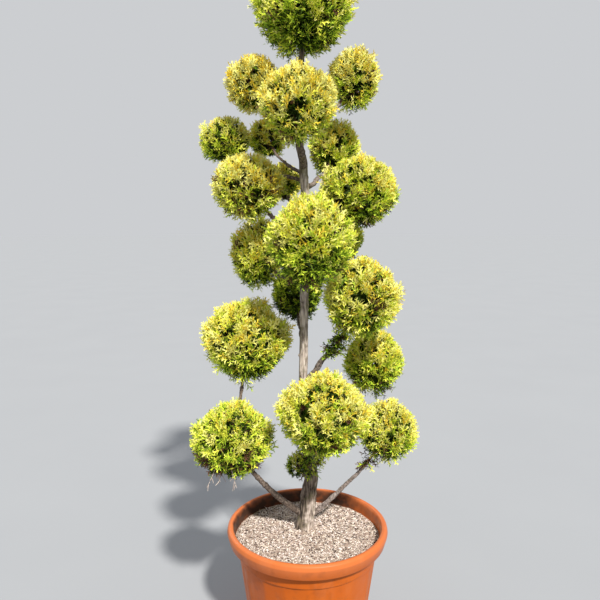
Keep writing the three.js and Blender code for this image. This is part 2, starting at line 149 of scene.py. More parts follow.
# Where the trunk stands on the soil, its ridges (how many go round it, their height as a share of its radius
# and how far up they take to turn), its root flare, and the stubs of cut twigs
TRUNK_FOOT_X = -0.006
TRUNK_FOOT_Y = 0.054
TRUNK_RIDGES = [(3, 0.05, 0.350), (5, 0.03, -0.200)]
BUTTRESS_DEPTH = 0.0035
BUTTRESS_HEIGHT = 0.045
STUBS = 46
STUB_HEIGHTS = (0.47, 2.1)
STUB_WIDTH = (0.005, 0.010)
STUB_LENGTH = (0.002, 0.005)
MIDDLE_TRUNK_RADIUS = 0.022

# The boughs, as in the part, with knots and waves besides
BOUGH_ENTRY_DROP = 0.25
BOUGH_BEND = 0.3
BOUGH_SWELL = 0.3
BOUGH_SWELL_FADE = 9
BOUGH_END_SHARE = 0.88
BOUGH_SIDES = 16
BOUGH_RINGS = 60
BOUGH_KNOTS = 3
KNOT_PLACES = (0.2, 0.9)
KNOT_LENGTH = 0.025
KNOT_SWELL = 0.12
BOUGH_WAVES = 3
BOUGH_WAVE_SPREAD = 0.0016

# Where two faces meet at more than this, their edge stays sharp
BARK_EDGE = math.radians(60)
TWIG_EDGE = math.radians(80)
POT_EDGE = math.radians(32)
SOIL_EDGE = math.radians(80)

# The bark's relief in layers, each with its scale across, its scale along z and its height. It is at its full
# height where the trunk's radius is at least the roughest one.
ROUGHEST_RADIUS = 0.016
TRUNK_RELIEF = [(60, 9, 0.0022), (150, 14, 0.0014), (330, 40, 0.0007)]
BOUGH_RELIEF = [(70, 70, 0.0018), (170, 170, 0.0011), (60, 240, 0.0006)]

# The bark's tones in its furrows, between and on its ridges, and where those lie in the pattern
BARK_STOPS = (0.36, 0.50, 0.64)
# The first set of trunk tones below is painted sunlight and the second is painted shade.
TRUNK_LIT_BARK = [(0.21, 0.165, 0.135), (0.45, 0.375, 0.320), (0.66, 0.575, 0.510)]
TRUNK_SHADED_BARK = [(0.030, 0.022, 0.016), (0.13, 0.098, 0.072), (0.27, 0.215, 0.170)]
# The first set of bough tones below is painted sunlight on the right and the second is painted shade on the
# left.
BOUGH_LIT_BARK = [(0.08, 0.062, 0.054), (0.22, 0.180, 0.160), (0.38, 0.32, 0.295)]
BOUGH_SHADED_BARK = [(0.040, 0.028, 0.022), (0.13, 0.095, 0.072), (0.27, 0.21, 0.17)]
BOUGH_SUNNY_SIDE = (-0.04, 0.06)

# How much painted shade the trunk's bark gets: the sum of a value for its height (from its foot at 0 to its
# tip at
# 1), which puts painted shade where pompons shade the trunk and painted sunlight between, one for its side
# (between two places along X), with painted shade on the left, and one by chance. It fades in between two
# such sums.
PAINTED_SHADE_STOPS = [
    (0.025, 0.40),
    (0.085, 0.90),
    (0.22, 0.87),
    (0.28, 0.20),
    (0.34, 0.14),
    (0.42, 0.0),
    (0.46, 0.0),
    (0.56, 0.55),
    (0.735, 0.05),
    (0.775, 0.95),
]
PAINTED_SHADE_BY_HEIGHT = (-0.6, 0.9)
PAINTED_SHADE_SIDES = (0.022, -0.030)
PAINTED_SHADE_BY_SIDE = (-0.15, 0.75)
PAINTED_SHADE_BY_CHANCE = (-0.4, 0.4)
PAINTED_SHADE_FADE = (0.15, 0.60)

# Each pompon, as in the part: its centre's height, bearing and reach from the trunk, its radius across and
# upwards, how far its upper and its lower flanks are drawn in, the height where its bough leaves the trunk,
# or the pompon that the bough rises out of, and the bough's radii at both ends, in millimetres and degrees.
# The last two numbers are for the looks alone: how golden it is, partly its own colour and partly painted
# light that brightens pompons lying in shade, and how much of its underside is dead.
POMPON_ROWS = [
    ("base_left", 831, 203, 294, 168, 153, 0.08, 0.12, 478, 12, 8, -0.06, 0.30),
    ("base_front", 961, 286, 236, 179, 163, 0.12, 0.10, 690, 20, 14, 0.30, 0.06),
    ("base_right", 829, 357, 299, 121, 129, 0.04, 0.04, 458, 9, 5, 0.22, 0.08),
    ("base_tuft", 716, 236, 84, 50, 58, 0, 0, 640, 6, 5, 0.00, 0.0),
    ("base_back", 868, 67, 230, 124, 118, 0.05, 0.05, 640, 11, 7, 0.0, 0.08),
    ("low_left", 1170, 188, 208, 182, 174, 0.08, 0.16, "base_left", 7, 5.5, 0.26, 0.03),
    ("low_right", 1059, 24, 301, 126, 147, 0.04, 0.02, 905, 10, 7, 0.06, 0.10),
    ("low_back", 1320, 98, 211, 114, 131, 0.04, 0.05, 1160, 10, 7, -0.34, 0.03),
    ("waist_right", 1334, 344, 207, 152, 163, 0.07, 0.04, 1010, 11, 7, 0.34, 0.04),
    ("waist_front", 1541, 274, 236, 164, 178, 0.12, 0.12, 1370, 12, 9, 0.10, 0.14),
    ("waist_left", 1476, 148, 208, 118, 152, 0.05, 0.04, 1400, 9, 7, 0.26, 0.10),
    ("waist_back", 1530, 62, 258, 126, 126, 0.05, 0.05, 1350, 10, 7, -0.04, 0.06),
    ("mid_left", 1722, 190, 203, 146, 132, 0.08, 0.06, 1560, 10, 7, 0.42, 0.16),
    ("mid_right", 1703, 0, 188, 156, 145, 0.06, 0.05, 1530, 10, 7, 0.16, 0.18),
    ("mid_back", 1753, 113, 218, 93, 85, 0.05, 0.02, 1620, 8, 6, 0.42, 0.06),
    ("high_front", 1971, 268, 185, 144, 147, 0.03, 0.16, 1790, 10, 8, 0.58, 0.05),
    ("high_left", 2074, 173, 170, 106, 114, 0, 0.04, 1880, 8, 6, 1.10, 0.08),
    ("high_right", 2106, 26, 216, 106, 130, 0.04, 0.08, 1900, 8, 6, 0.56, 0.08),
    ("high_back", 1873, 59, 263, 110, 134, 0.05, 0.04, 1720, 9, 6, 0.22, 0.14),
    ("shoulder_left", 1898, 156, 299, 109, 97, 0.06, 0.03, 1745, 6, 4.5, 0.28, 0.05),
    ("shoulder_back", 1923, 116, 287, 90, 90, 0.05, 0.03, 1770, 6, 4.5, 0.42, 0.06),
    ("crown_back", 2096, 88, 237, 123, 105, 0.05, 0.05, 1930, 7, 5, 0.0, 0.06),
    ("top", 2325, 0, 6, 190, 182, 0, 0.08, None, 9, 8, 0.08, 0.03),
]

# The seeds of all that is drawn by chance, the pompons' as in the part
FIRST_SEED = 100
TOP_SEED = 99
SKIRT_SEED = 900
BOUGH_SEED = 700
SPRAY_SEED = 40
SHADE_SEED = 60
TINT_SEED = 80
STUB_SEED = 31
DRY_TWIG_SEED = 5
SOIL_SEED = 7

# How a pompon fills its space: the part's rule with shallower dents, and small swells and hollows besides
LUMPS = 9
LUMP_WIDTH = 0.3
LUMP_HEIGHT = (0.96, 1.04)
LUMP_SLIP = 0.06
LUMP_TURN = 0.3
DENT_SHARE = 0.10
TIP_SHARE = (0.94, 1.06)
FURTHEST_TIP_SHARE = 1.06
SWELL_SHARE = 0.11
SWELL_SCALE = 17
DEEPEST_HOLLOW = 0.04
LEADER_SHARE = 0.10
LEADER_REACH = 0.12
STEM_DEPTH_SHARE = 0.45
LEAN_UP = 0.3
LEAN_ASIDE = 0.38
TURN_JITTER = 0.35

# How far sprays stay off the trunk and the boughs, and where that is measured: the step between the places
# on the trunk, their number on a bough, and the places along a spray
LIMB_CLEARANCE = 0.004
TRUNK_SAMPLE_STEP = 0.012
BOUGH_SAMPLES = 28
SPRAY_SAMPLES = (0.1, 0.5, 1.0)

# The finer growth that carries the part's rule on: limblets from the stem and a twig to each tuft
TOP_STEM = (2.17, 2.24)
STEM_TAPER = 0.6
LIMBLETS = 14
LIMBLET_STARTS = (0.25, 1.0)
LIMBLET_TURN_JITTER = 0.5
LIMBLET_REACH = (0.38, 0.55)
LIMBLET_RADII = (0.0034, 0.0020)
LIMBLET_ARCH = 0.012
LIMBLET_WANDER = 0.005
TWIG_WANDER = 0.003
TWIG_PAST_END = 1.02
TWIG_POINTS = 5
TWIG_ROOT_RADII = (0.0013, 0.0018)
TWIG_TIP_RADIUS = 0.0006
TWIG_SIDES = 3
TUFTS_PER_M2 = 1020
TUFT_ROOT_SHARE = 0.60

# The sprays along each twig: the first leads, and the others stand off it
SPRAYS_PER_TUFT = 6
SPRAY_LENGTH = (0.034, 0.058)
SHORTEST_SPRAY = 0.014
SPRAY_LEAN_UP = 0.50
SPRAY_SPREAD = (0.35, 0.95)
LEADING_SPREAD_SHARE = 0.3
LEADING_SPRAY_PAST_TWIG = 0.85
SHORTEST_TWIG_SHARE = 0.3
LOWEST_SPRAY_PLACE = 0.50
SPRAY_PLACE_JITTER = 0.05
SIDE_SPRAY_REACH = (0.94, 1.0)
SMALL_POMPON = 0.11
LEAST_SPRAY_SCALE = 0.25
SPRAY_KINDS = 6

# A spray's own shape, one unit long: its stem, the arms that leave it by turns, and the twins on each arm
SPRAY_TOP = 0.96
SPRAY_JOINTS = 5
STEM_LENGTH = 1.04
STEM_BLADE_JOINTS = 1.5
STEM_BEND = 0.10
BLADE_WIDTH = 0.075
ARM_WIDTH = 0.085
ARM_LENGTH = 0.20
ARM_LENGTHENING = 0.34
ARM_VARIETY = (0.85, 1.15)
ARM_ANGLE = (0.50, 0.75)
ARM_LIFT = (-0.20, 0.30)
LONG_ARM = 0.33
TWINS = ((0.35, 1), (0.60, -1))
ONLY_TWIN = ((0.5, 1),)
TWIN_LENGTH = 0.50
TWIN_ANGLE = (0.45, 0.75)
TWIN_LIFT = 0.1
DROOP = 0.10

# The broad sprays inside, tinted dark as painted shade
SHADE_SPRAYS_PER_M2 = 1600
SHADE_SHARE = (0.30, 0.66)
SHADE_FURTHEST_SHARE = 0.88
SHADE_LENGTH = (0.050, 0.080)
SHADE_LEAN_UP = 0.2
SHADE_LEAN_ASIDE = 1.1
SHADE_TONE = (-0.30, 0.20)
SHADE_KINDS = 4
SHADE_BLADES = 11
SHADE_STEM = 0.5
SHADE_FAN = (0.2, 0.95)
SHADE_FAN_CLOSES = 0.8
SHADE_BLADE_LENGTH = (0.5, 0.62)
SHADE_BLADE_WIDTH = 0.20
SHADE_BLADE_LIFT = (-0.25, 0.25)

# The bare dead twigs under a pompon: the shares of its size at which they start, how far they go down to
# their bend and on to their end, each as a least and a most, and their forks
DRY_TWIGS = 7
DRY_TWIG_START = ((-0.32, -0.6), (0.12, 0.0))
DRY_TWIG_START_HEIGHT = -0.48
DRY_TWIG_BEND = ((-0.02, -0.02, 0.03), (0.02, 0.01, 0.05))
DRY_TWIG_END = ((-0.03, -0.02, 0.005), (0.04, 0.01, 0.03))
DRY_FORK_SPREAD = 0.011
DRY_FORK_DROP = 0.010
DRY_FORK_WANDER = 0.003
DRY_TWIG_RADII = (0.0013, 0.0006)
DRY_TWIG_POINTS = 8
DRY_TWIG_SIDES = 5
DRY_TWIG_FORKS = (0.45, 0.6, 0.8)

# The sprays on the bare wood under a pompon
SKIRT_LENGTH = (0.030, 0.052)
SKIRT_TRUNK_HEIGHTS = (0.655, 0.800)
SKIRT_BEARINGS = (math.radians(-175), math.radians(-15))
SKIRT_ROOT_SHARE = 0.9
SKIRT_LEAN_UP = (-0.8, 0.5)
SKIRT_LEAN_ASIDE = 0.25
# Skirt sprays on the right get a paler tone: painted sunlight.
SKIRT_SUNNY_TONE = 0.35
SKIRT_TONE_VARIETY = 0.22

# Each such skirt: the pompon's name, how many sprays, the stretch of its bough that bears them, the share of
# them that stands on the trunk instead, their middle tone and the share that is dead
SKIRT_ROWS = [
    ("base_front", 210, (0.10, 0.90), 0.55, 0.30, 0.22),
    ("waist_right", 130, (0.50, 1.00), 0.0, 0.22, 0.12),
    ("base_right", 36, (0.78, 1.00), 0.0, 0.25, 0.70),
]

# The tints of the living leaves from the palest tips to the shaded inside, each with the lowest tone that
# takes it. The palest few may turn amber instead.
# The palest tints stand partly for painted sunlight and the darkest, deep, partly for painted shade.
LEAF_TINTS = [
    ("cream", 1.10, (0.80, 0.77, 0.23)),
    ("gold", 0.80, (0.76, 0.76, 0.088)),
    ("lime", 0.54, (0.61, 0.73, 0.056)),
    ("fresh", 0.30, (0.36, 0.52, 0.036)),
    ("green", 0.10, (0.12, 0.21, 0.013)),
    ("deep", -9.0, (0.026, 0.046, 0.004)),
]
AMBER_TINT = ("amber", (0.82, 0.63, 0.062))
TINTS_THAT_TURN = 3
DEAD_TINT = ("dead", (0.115, 0.056, 0.030))
MOST_TRIANGLES = 180000

# What a spray's tone is made of: painted light on the sunny side, lumps and swells, painted shade on the
# underside, in hollows and deeper inside, soft patches and chance. The sunny side and underside also give the
# leaves' own gold and green, and a spray's rise from base to tip is partly its own colour and partly painted
# shade at its base.
SUNWARD = np.array([0.20, -0.40, 0.80])
OUTER_TONE = 0.95
SUNNY_TONE = 0.20
UNDERSIDE_TONE = 0.42
LUMP_TONE = 0.10
MIDDLE_FILLED_SHARE = 0.95
FILLED_RANGE = 0.12
SWELL_TONE = 1.2
TUFT_MIDDLE = 0.03
TONE_PATCHES = [(9, 9, 0.14), (26, 26, 0.20)]
DEPTH_TONE = 1.1
LIT_DEPTH = 0.84
TUFT_TONE_VARIETY = 0.14
SPRAY_TONE_VARIETY = 0.28
BLADE_RISE = (-0.36, 0.16)
BLADE_VARIETY = 0.12

# How much of the foliage is amber or dead
AMBER_BY_GOLD = 0.32
AMBER_BY_SUN = 0.20
MOST_AMBER = 0.55
SHADED_BELOW = 0.15
DEAD_ANYWHERE = 0.03
DEAD_IN_SHADE = 0.8
DEAD_IN_TUFT = 0.75
DEAD_INSIDE = (0.01, 0.35)

# The photo's camera: a standing adult's eye, looking a little down
CAMERA_PLACE = Vector((-0.028, -2.15, 1.61))
CAMERA_PITCH = math.radians(7.6)
CAMERA_LENS = 36.3
SENSOR_WIDTH = 36
FLOOR_REACH = 60
FLOOR_SIDES = 96


def random_stream(seed):
    """The part's repeatable stream of numbers from 0 to 1."""
    mask = 0xFFFFFFFF
    state = seed
    while True:
        state = (state + 0x6D2B79F5) & mask
        t = ((state ^ (state >> 15)) * (state | 1)) & mask
        t ^= (t + (((t ^ (t >> 7)) * (t | 61)) & mask)) & mask
        yield ((t ^ (t >> 14)) & mask) / (mask + 1)


def unit(vectors):
    return vectors / np.linalg.norm(vectors, axis=-1, keepdims=True)


def dot(a, b):
    return np.sum(a * b, axis=-1)


def lerp(a, b, share):
    return a + (b - a) * share


def around(radius, turn, height):
    """Points round the vertical axis, at turns, radii and heights."""
    places = np.broadcast_arrays(radius * np.cos(turn), radius * np.sin(turn), height)
    return np.stack(places, axis=-1)


def spiral(count, jitter):
    """Directions spread evenly over a ball, each turned by its own jitter."""
    i = np.arange(count)
    z = 1 - 2 * (i + 0.5) / count
    return around(np.sqrt(1 - z * z), i * GOLDEN_ANGLE + jitter, z)


def trunk_station(height):
    """The trunk's centre x and y and its radius at each height."""
    heights = TRUNK_STATIONS[:, 0]
    i = np.clip(np.searchsorted(heights, height) - 1, 0, len(heights) - 2)
    share = (height - heights[i]) / (heights[i + 1] - heights[i])
    eased = share * share * (3 - 2 * share)
    x, y = (lerp(TRUNK_STATIONS[i, k], TRUNK_STATIONS[i + 1, k], eased) for k in (1, 2))
    radius = lerp(TRUNK_STATIONS[i, 3], TRUNK_STATIONS[i + 1, 3], share)
    return x, y, radius + FLARE * np.exp((SOIL_LEVEL - height) / FLARE_HEIGHT)


def trunk_at(height):
    x, y, _ = trunk_station(height)
    return np.stack([x, y, np.asarray(height, float)], axis=-1)


def make_pompons():
    """Every pompon in the rows' order, as one may carry the bough of a later one."""
    made = {}
    for order, row in enumerate(POMPON_ROWS):
        pompon = make_pompon(order, made, row)
        made[pompon.name] = pompon
    return list(made.values())


def make_pompon(order, made, row):
    """A pompon's place and space, the lumps it is clipped into and its bough's curve."""
    name, height, bearing, reach, across, upward, peak, draw, fork, thick, thin, gold, dead = row
    turn = math.radians(bearing)
    centre = trunk_at(height * MM) + reach * MM * np.array([math.cos(turn), math.sin(turn), 0])
    pompon = SimpleNamespace(name=name, centre=centre, peak=peak, draw=draw, gold=gold, dead=dead)
    pompon.size = MM * np.array([across, across, upward])
    pompon.area = 2 * FULL_TURN * across * upward * MM * MM
    pompon.thick = thick * MM
    pompon.thin = thin * MM
    pompon.seed = TOP_SEED if fork is None else FIRST_SEED + order
    pompon.lumps, pompon.lump_heights = clipped_lumps(pompon.seed)
    pompon.bough = None
    if fork in made:
        pompon.bough = bough_curve(pompon, made[fork].centre)
    elif fork is not None:
        pompon.bough = bough_curve(pompon, trunk_at(fork * MM))
    return pompon


def clipped_lumps(seed):
    """The part's lumps: directions on an even spiral, each a little out of place, and the lumps' heights."""
    stream = random_stream(seed)
    start = FULL_TURN * next(stream)
    lumps = []
    heights = []
    for i in range(LUMPS):
        z = 1 - 2 * (i + 0.5) / LUMPS + lerp(-LUMP_SLIP, LUMP_SLIP, next(stream))
        turn = start + i * GOLDEN_ANGLE + lerp(-LUMP_TURN, LUMP_TURN, next(stream))
        flat = math.sqrt(1 - z * z)
        lumps.append((flat * math.cos(turn), flat * math.sin(turn), z))
        heights.append(lerp(*LUMP_HEIGHT, next(stream)))
    return np.array(lumps), np.array(heights)


def filled_share(pompon, directions):
    """What share of the space the leaves fill: most on a tall lump, less between lumps and on the flanks."""
    off_lump = np.clip((1 - directions @ pompon.lumps.T) / LUMP_WIDTH, 0, 1)
    lump_share = (pompon.lump_heights - DENT_SHARE * off_lump).max(axis=-1)
    beside = 2 * np.hypot(directions[..., 0], directions[..., 1])
    drawn_in = np.where(directions[..., 2] > 0, pompon.peak, -pompon.draw) * directions[..., 2] * beside
    return np.minimum(1, lump_share) - drawn_in


def distance_to_skin(pompon, inside, heading, share):
    """The distance from points inside, along headings, to the space's skin shrunk to a share of its size."""
    start = (inside - pompon.centre) / pompon.size
    step = heading / pompon.size
    along = dot(start, step)
    square = dot(step, step)
    root = along**2 + square * (share**2 - dot(start, start))
    return (np.sqrt(np.maximum(root, 0)) - along) / square


def bough_curve(pompon, start):
    """The three points of the bough's curve: its fork, its bend and its tip in the pompon's skin."""
    towards_fork = unit(start - pompon.centre)
    entry = unit((1 - BOUGH_ENTRY_DROP) * towards_fork - BOUGH_ENTRY_DROP * UP)
    tip = pompon.centre + entry * distance_to_skin(pompon, pompon.centre, entry, BOUGH_END_SHARE)
    bend = tip + entry * BOUGH_BEND * np.linalg.norm(tip - start)
    return start, bend, tip


def along_curve(curve, share):
    start, bend, tip = (np.asarray(point) for point in curve)
    t = np.asarray(share, float)[..., None]
    return (1 - t) ** 2 * start + 2 * t * (1 - t) * bend + t**2 * tip


def tube_rings(points, radii, sides):
    """Rings round tubes. points is (tubes, rings, 3), and radii (tubes, rings) or (tubes, rings, sides)."""
    tangent = unit(np.gradient(points, axis=1))
    chord = unit(points[:, -1] - points[:, 0])
    spare = np.eye(3)[np.argmin(np.abs(chord), axis=-1)][:, None, :]
    across = unit(np.cross(tangent, spare))
    other = np.cross(tangent, across)
    turn = np.arange(sides) * FULL_TURN / sides
    wheel = across[:, :, None] * np.cos(turn)[:, None] + other[:, :, None] * np.sin(turn)[:, None]
    if radii.ndim == 2:
        radii = radii[..., None]
    return points[:, :, None] + wheel * radii[..., None]


def tube_faces(tubes, rings, sides):
    """The quads between the rings of a set of equal tubes, and a face that closes each end."""
    row = np.arange(rings - 1)[:, None] * sides
    step = np.arange(sides)
    after = (step + 1) % sides
    quads = np.stack([row + step, row + after, row + sides + after, row + sides + step], axis=-1)
    ends = np.stack([step[::-1], (rings - 1) * sides + step])
    start = np.arange(tubes)[:, None, None] * rings * sides
    return [(start + quads.reshape(-1, 4)).reshape(-1, 4), (start + ends).reshape(-1, sides)]


def mesh_object(name, points, face_groups, material, smooth_angle=None):
    """A mesh object from an array of points and arrays of faces, each array with its own corner count."""
    points = np.reshape(points, (-1, 3))
    mesh = bpy.data.meshes.new(name)
    corners = np.concatenate([faces.ravel() for faces in face_groups])
    counts = np.concatenate([np.full(len(faces), faces.shape[1]) for faces in face_groups])
    mesh.vertices.add(len(points))
    mesh.vertices.foreach_set("co", np.ascontiguousarray(points, np.float32).ravel())
    mesh.loops.add(len(corners))
    mesh.loops.foreach_set("vertex_index", corners.astype(np.int32))
    mesh.polygons.add(len(counts))
    mesh.polygons.foreach_set("loop_start", np.concatenate([[0], np.cumsum(counts)[:-1]]).astype(np.int32))
    mesh.polygons.foreach_set("use_smooth", np.full(len(counts), smooth_angle is not None))
    mesh.update(calc_edges=True)
    if smooth_angle is not None:
        mesh.set_sharp_from_angle(angle=smooth_angle)
    mesh.materials.append(material)
    return add_object(name, mesh)


def add_object(name, data):
    """A new object of the scene with its mesh, camera or light."""
    item = bpy.data.objects.new(name, data)
    bpy.context.scene.collection.objects.link(item)
    return item


def wood_piece(name, lines, radii, sides, material, edge, nodes=()):
    """Tubes along lines of points, as one piece of bark."""
    faces = tube_faces(*lines.shape[:2], sides)
    piece = mesh_object(name, tube_rings(lines, radii, sides), faces, material, edge)
    finish_piece(piece, nodes)


def finish_piece(piece, nodes):
    """The piece rides on the part's one body and stands for CAD nodes."""
    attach(piece, "root")
    if nodes:
        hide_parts(*nodes)


def new_material(name, colour, roughness, sheen=0.5):
    """A material with its node tree and its own Principled shader. sheen is how much it mirrors."""
    material = bpy.data.materials.new(name)
    material.use_nodes = True
    tree = material.node_tree
    shader = tree.nodes["Principled BSDF"]
    shader.inputs["Base Color"].default_value = (*colour, 1)
    shader.inputs["Roughness"].default_value = roughness
    shader.inputs["Specular IOR Level"].default_value = sheen
    return material, tree, shader


def add_node(tree, kind, inputs, **settings):
    """Adds a node of a kind and gives its outputs. Each input is linked to an output or set to a value."""
    node = tree.nodes.new("ShaderNode" + kind)
    for key, value in settings.items():
        setattr(node, key, value)
    for key, value in inputs.items():
        if isinstance(value, bpy.types.NodeSocket):
            tree.links.new(value, node.inputs[key])
        else:
            node.inputs[key].default_value = value
    return node.outputs


def object_place(tree):
    """The place in the object's own metres."""
    return add_node(tree, "TexCoord", {})["Object"]


def noise_value(tree, scale, detail=3.0, stretch=(1, 1, 1)):
    """A noise laid out in the object's own metres, stretched along its axes."""
    place = add_node(tree, "Mapping", {"Vector": object_place(tree), "Scale": stretch})["Vector"]
    return add_node(tree, "TexNoise", {"Vector": place, "Scale": scale, "Detail": detail})["Fac"]


def noise_between(tree, low, high, scale, detail=3.0):
    """A noise whose usual range is spread from a low value to a high one."""
    return map_value(tree, noise_value(tree, scale, detail), (0.3, 0.7), (low, high))


def ramp(tree, value, stops):
    """A colour ramp over a value. stops are (position, colour)."""
    node = tree.nodes.new("ShaderNodeValToRGB")
    elements = node.color_ramp.elements
    while len(elements) < len(stops):
        elements.new(0.5)
    for element, (position, colour) in zip(elements, stops):
        element.position = position
        element.color = (*colour, 1)
    tree.links.new(value, node.inputs["Fac"])
    return node.outputs["Color"]


def grey_ramp(tree, value, stops):
    """A ramp between greys. stops are (position, level)."""
    return ramp(tree, value, [(position, (level, level, level)) for position, level in stops])


def blend_colours(tree, factor, first, second):
    """The first colour mixed by a factor with the second, which is a node's output or a plain colour."""
    if isinstance(second, tuple):
        second = (*second, 1)
    return add_node(tree, "Mix", {0: factor, 6: first, 7: second}, data_type="RGBA")[2]


def bark_tint(tree, pattern, factor, *both_tones):
    """Bark blended by a factor from two sets of tones, both laid over the same pattern."""
    first, second = (ramp(tree, pattern, list(zip(BARK_STOPS, tones))) for tones in both_tones)
    return blend_colours(tree, factor, first, second)


def map_value(tree, value, source, target=(0.0, 1.0)):
    """A value carried from one range, source, to another, target, and kept inside it."""
    ends = zip(("From Min", "From Max", "To Min", "To Max"), (*source, *target))
    return add_node(tree, "MapRange", {"Value": value, **dict(ends)})["Result"]


def add_values(tree, first, *others):
    """The sum of two or more values."""
    for other in others:
        first = add_node(tree, "Math", {0: first, 1: other}, operation="ADD")["Value"]
    return first


def object_axes(tree):
    """The X, Y and Z of the object's own metres."""
    return add_node(tree, "SeparateXYZ", {"Vector": object_place(tree)})


def add_bump(tree, shader, value, strength, depth):
    bump = add_node(tree, "Bump", {"Strength": strength, "Distance": depth, "Height": value})
    tree.links.new(bump["Normal"], shader.inputs["Normal"])


def leaf_material(name, colour):
    """Scale leaves: one plain tint, with a waxy roughness and a fine pattern of scales."""
    material, tree, shader = new_material("leaf_" + name, colour, 0.6, 0.15)
    tree.links.new(noise_between(tree, 0.45, 0.75, 90), shader.inputs["Roughness"])
    add_bump(tree, shader, noise_value(tree, 700, 2), 0.35, 0.0008)
    return material


def two_tone_material(name, roughness, grain, dark, pale, bump):
    """A small rough thing in two tones. bump is a pattern's scale and detail, its strength and its depth."""
    material, tree, shader = new_material(name, pale, roughness)
    tint = ramp(tree, noise_value(tree, grain), [(0.35, dark), (0.65, pale)])
    tree.links.new(tint, shader.inputs["Base Color"])
    scale, detail, strength, depth = bump
    add_bump(tree, shader, noise_value(tree, scale, detail), strength, depth)
    return material


def twig_material():
    """Young red-brown bark, paler where it has dried."""
    dark, pale = (0.085, 0.040, 0.025), (0.23, 0.135, 0.09)
    return two_tone_material("twig_bark", 0.8, 40, dark, pale, (500, 2, 0.4, 0.0005))


def dry_twig_material():
    """Dead twigs bleached by the sun."""
    dark, pale = (0.30, 0.22, 0.18), (0.60, 0.52, 0.45)
    return two_tone_material("dry_twig", 0.85, 60, dark, pale, (600, 2, 0.4, 0.0005))


def crumb_material(name, dark, pale):
    """One kind of crumb or fibre that lies on the soil."""
    return two_tone_material(name, 0.95, 150, dark, pale, (700, 3, 0.6, 0.0008))


def trunk_material():
    """Fibrous bark: furrows along the trunk, pale in painted sunlight and dark in painted shade, with moss in
    spots.
    """
    material, tree, shader = new_material("trunk_bark", (0.24, 0.17, 0.12), 0.88)
    fibres = noise_value(tree, 170, 6, (1, 1, 0.17))
    shaded = bark_tint(tree, fibres, trunk_painted_shade(tree), TRUNK_LIT_BARK, TRUNK_SHADED_BARK)
    moss_spread = grey_ramp(tree, noise_value(tree, 24, 6), [(0.55, 0), (0.68, 0.55)])
    mossy = blend_colours(tree, moss_spread, shaded, (0.105, 0.105, 0.035))
    tree.links.new(mossy, shader.inputs["Base Color"])
    add_bump(tree, shader, fibres, 0.7, 0.0016)
    return material


def trunk_painted_shade(tree):
    """Where the bark gets painted shade: more on the left and where foliage shades it, with ragged borders.
    """
    axes = object_axes(tree)
    across = map_value(tree, axes["X"], PAINTED_SHADE_SIDES, PAINTED_SHADE_BY_SIDE)
    share = map_value(tree, axes["Z"], (TRUNK_FOOT, TRUNK_TIP))
    upward = map_value(tree, grey_ramp(tree, share, PAINTED_SHADE_STOPS), (0.0, 1.0), PAINTED_SHADE_BY_HEIGHT)
    ragged = noise_between(tree, *PAINTED_SHADE_BY_CHANCE, 30, 5)
    return map_value(tree, add_values(tree, across, upward, ragged), PAINTED_SHADE_FADE)


def bough_material():
    """The boughs' younger bark: rough and patchy, with painted shade on the tree's left and painted sunlight
    on its right.
    """
    material, tree, shader = new_material("bough_bark", (0.20, 0.145, 0.105), 0.88)
    flakes = noise_value(tree, 150, 5)
    sunward = map_value(tree, object_axes(tree)["X"], BOUGH_SUNNY_SIDE)
    tint = bark_tint(tree, flakes, sunward, BOUGH_SHADED_BARK, BOUGH_LIT_BARK)
    patches = noise_between(tree, 0.0, 0.6, 18, 4)
    tree.links.new(blend_colours(tree, patches, tint, (0.10, 0.072, 0.054)), shader.inputs["Base Color"])
    add_bump(tree, shader, flakes, 0.6, 0.0012)
    return material


def pot_material():
    """Moulded orange-brown plastic: satin, a little faded, with dust in faint streaks and a painted highlight
    on the collar.
    """
    material, tree, shader = new_material("pot_plastic", (0.50, 0.108, 0.006), 0.42, 0.20)
    fade = noise_value(tree, 3.2, 4)
    plastic = ramp(tree, fade, [(0.3, (0.45, 0.088, 0.004)), (0.7, (0.52, 0.115, 0.008))])
    runs = grey_ramp(tree, noise_value(tree, 22, 5, (1, 1, 0.22)), [(0.56, 0), (0.80, 0.14)])
    dusty_and_highlit = blend_colours(tree, runs, plastic, (0.55, 0.30, 0.18))
    # The paler collar is partly faded plastic and partly a painted highlight.
    collar = map_value(tree, object_axes(tree)["Z"], COLLAR_FADE_AND_HIGHLIGHT, (0.0, 0.10))
    dusty_and_highlit = blend_colours(tree, collar, dusty_and_highlit, (0.66, 0.40, 0.28))
    specks = grey_ramp(tree, noise_value(tree, 260, 3), [(0.66, 0), (0.74, 0.3)])
    speckled = blend_colours(tree, specks, dusty_and_highlit, (0.34, 0.12, 0.05))
    # The pot's inside is darkened, partly by a wet-soil stain and partly by painted shade.
    stained_and_shaded = blend_colours(tree, inside_stain_and_shade(tree), speckled, (0.046, 0.021, 0.013))
    tree.links.new(stained_and_shaded, shader.inputs["Base Color"])
    tree.links.new(noise_between(tree, 0.30, 0.50, 14, 5), shader.inputs["Roughness"])
    add_bump(tree, shader, noise_value(tree, 900, 2), 0.12, 0.0004)
    return material


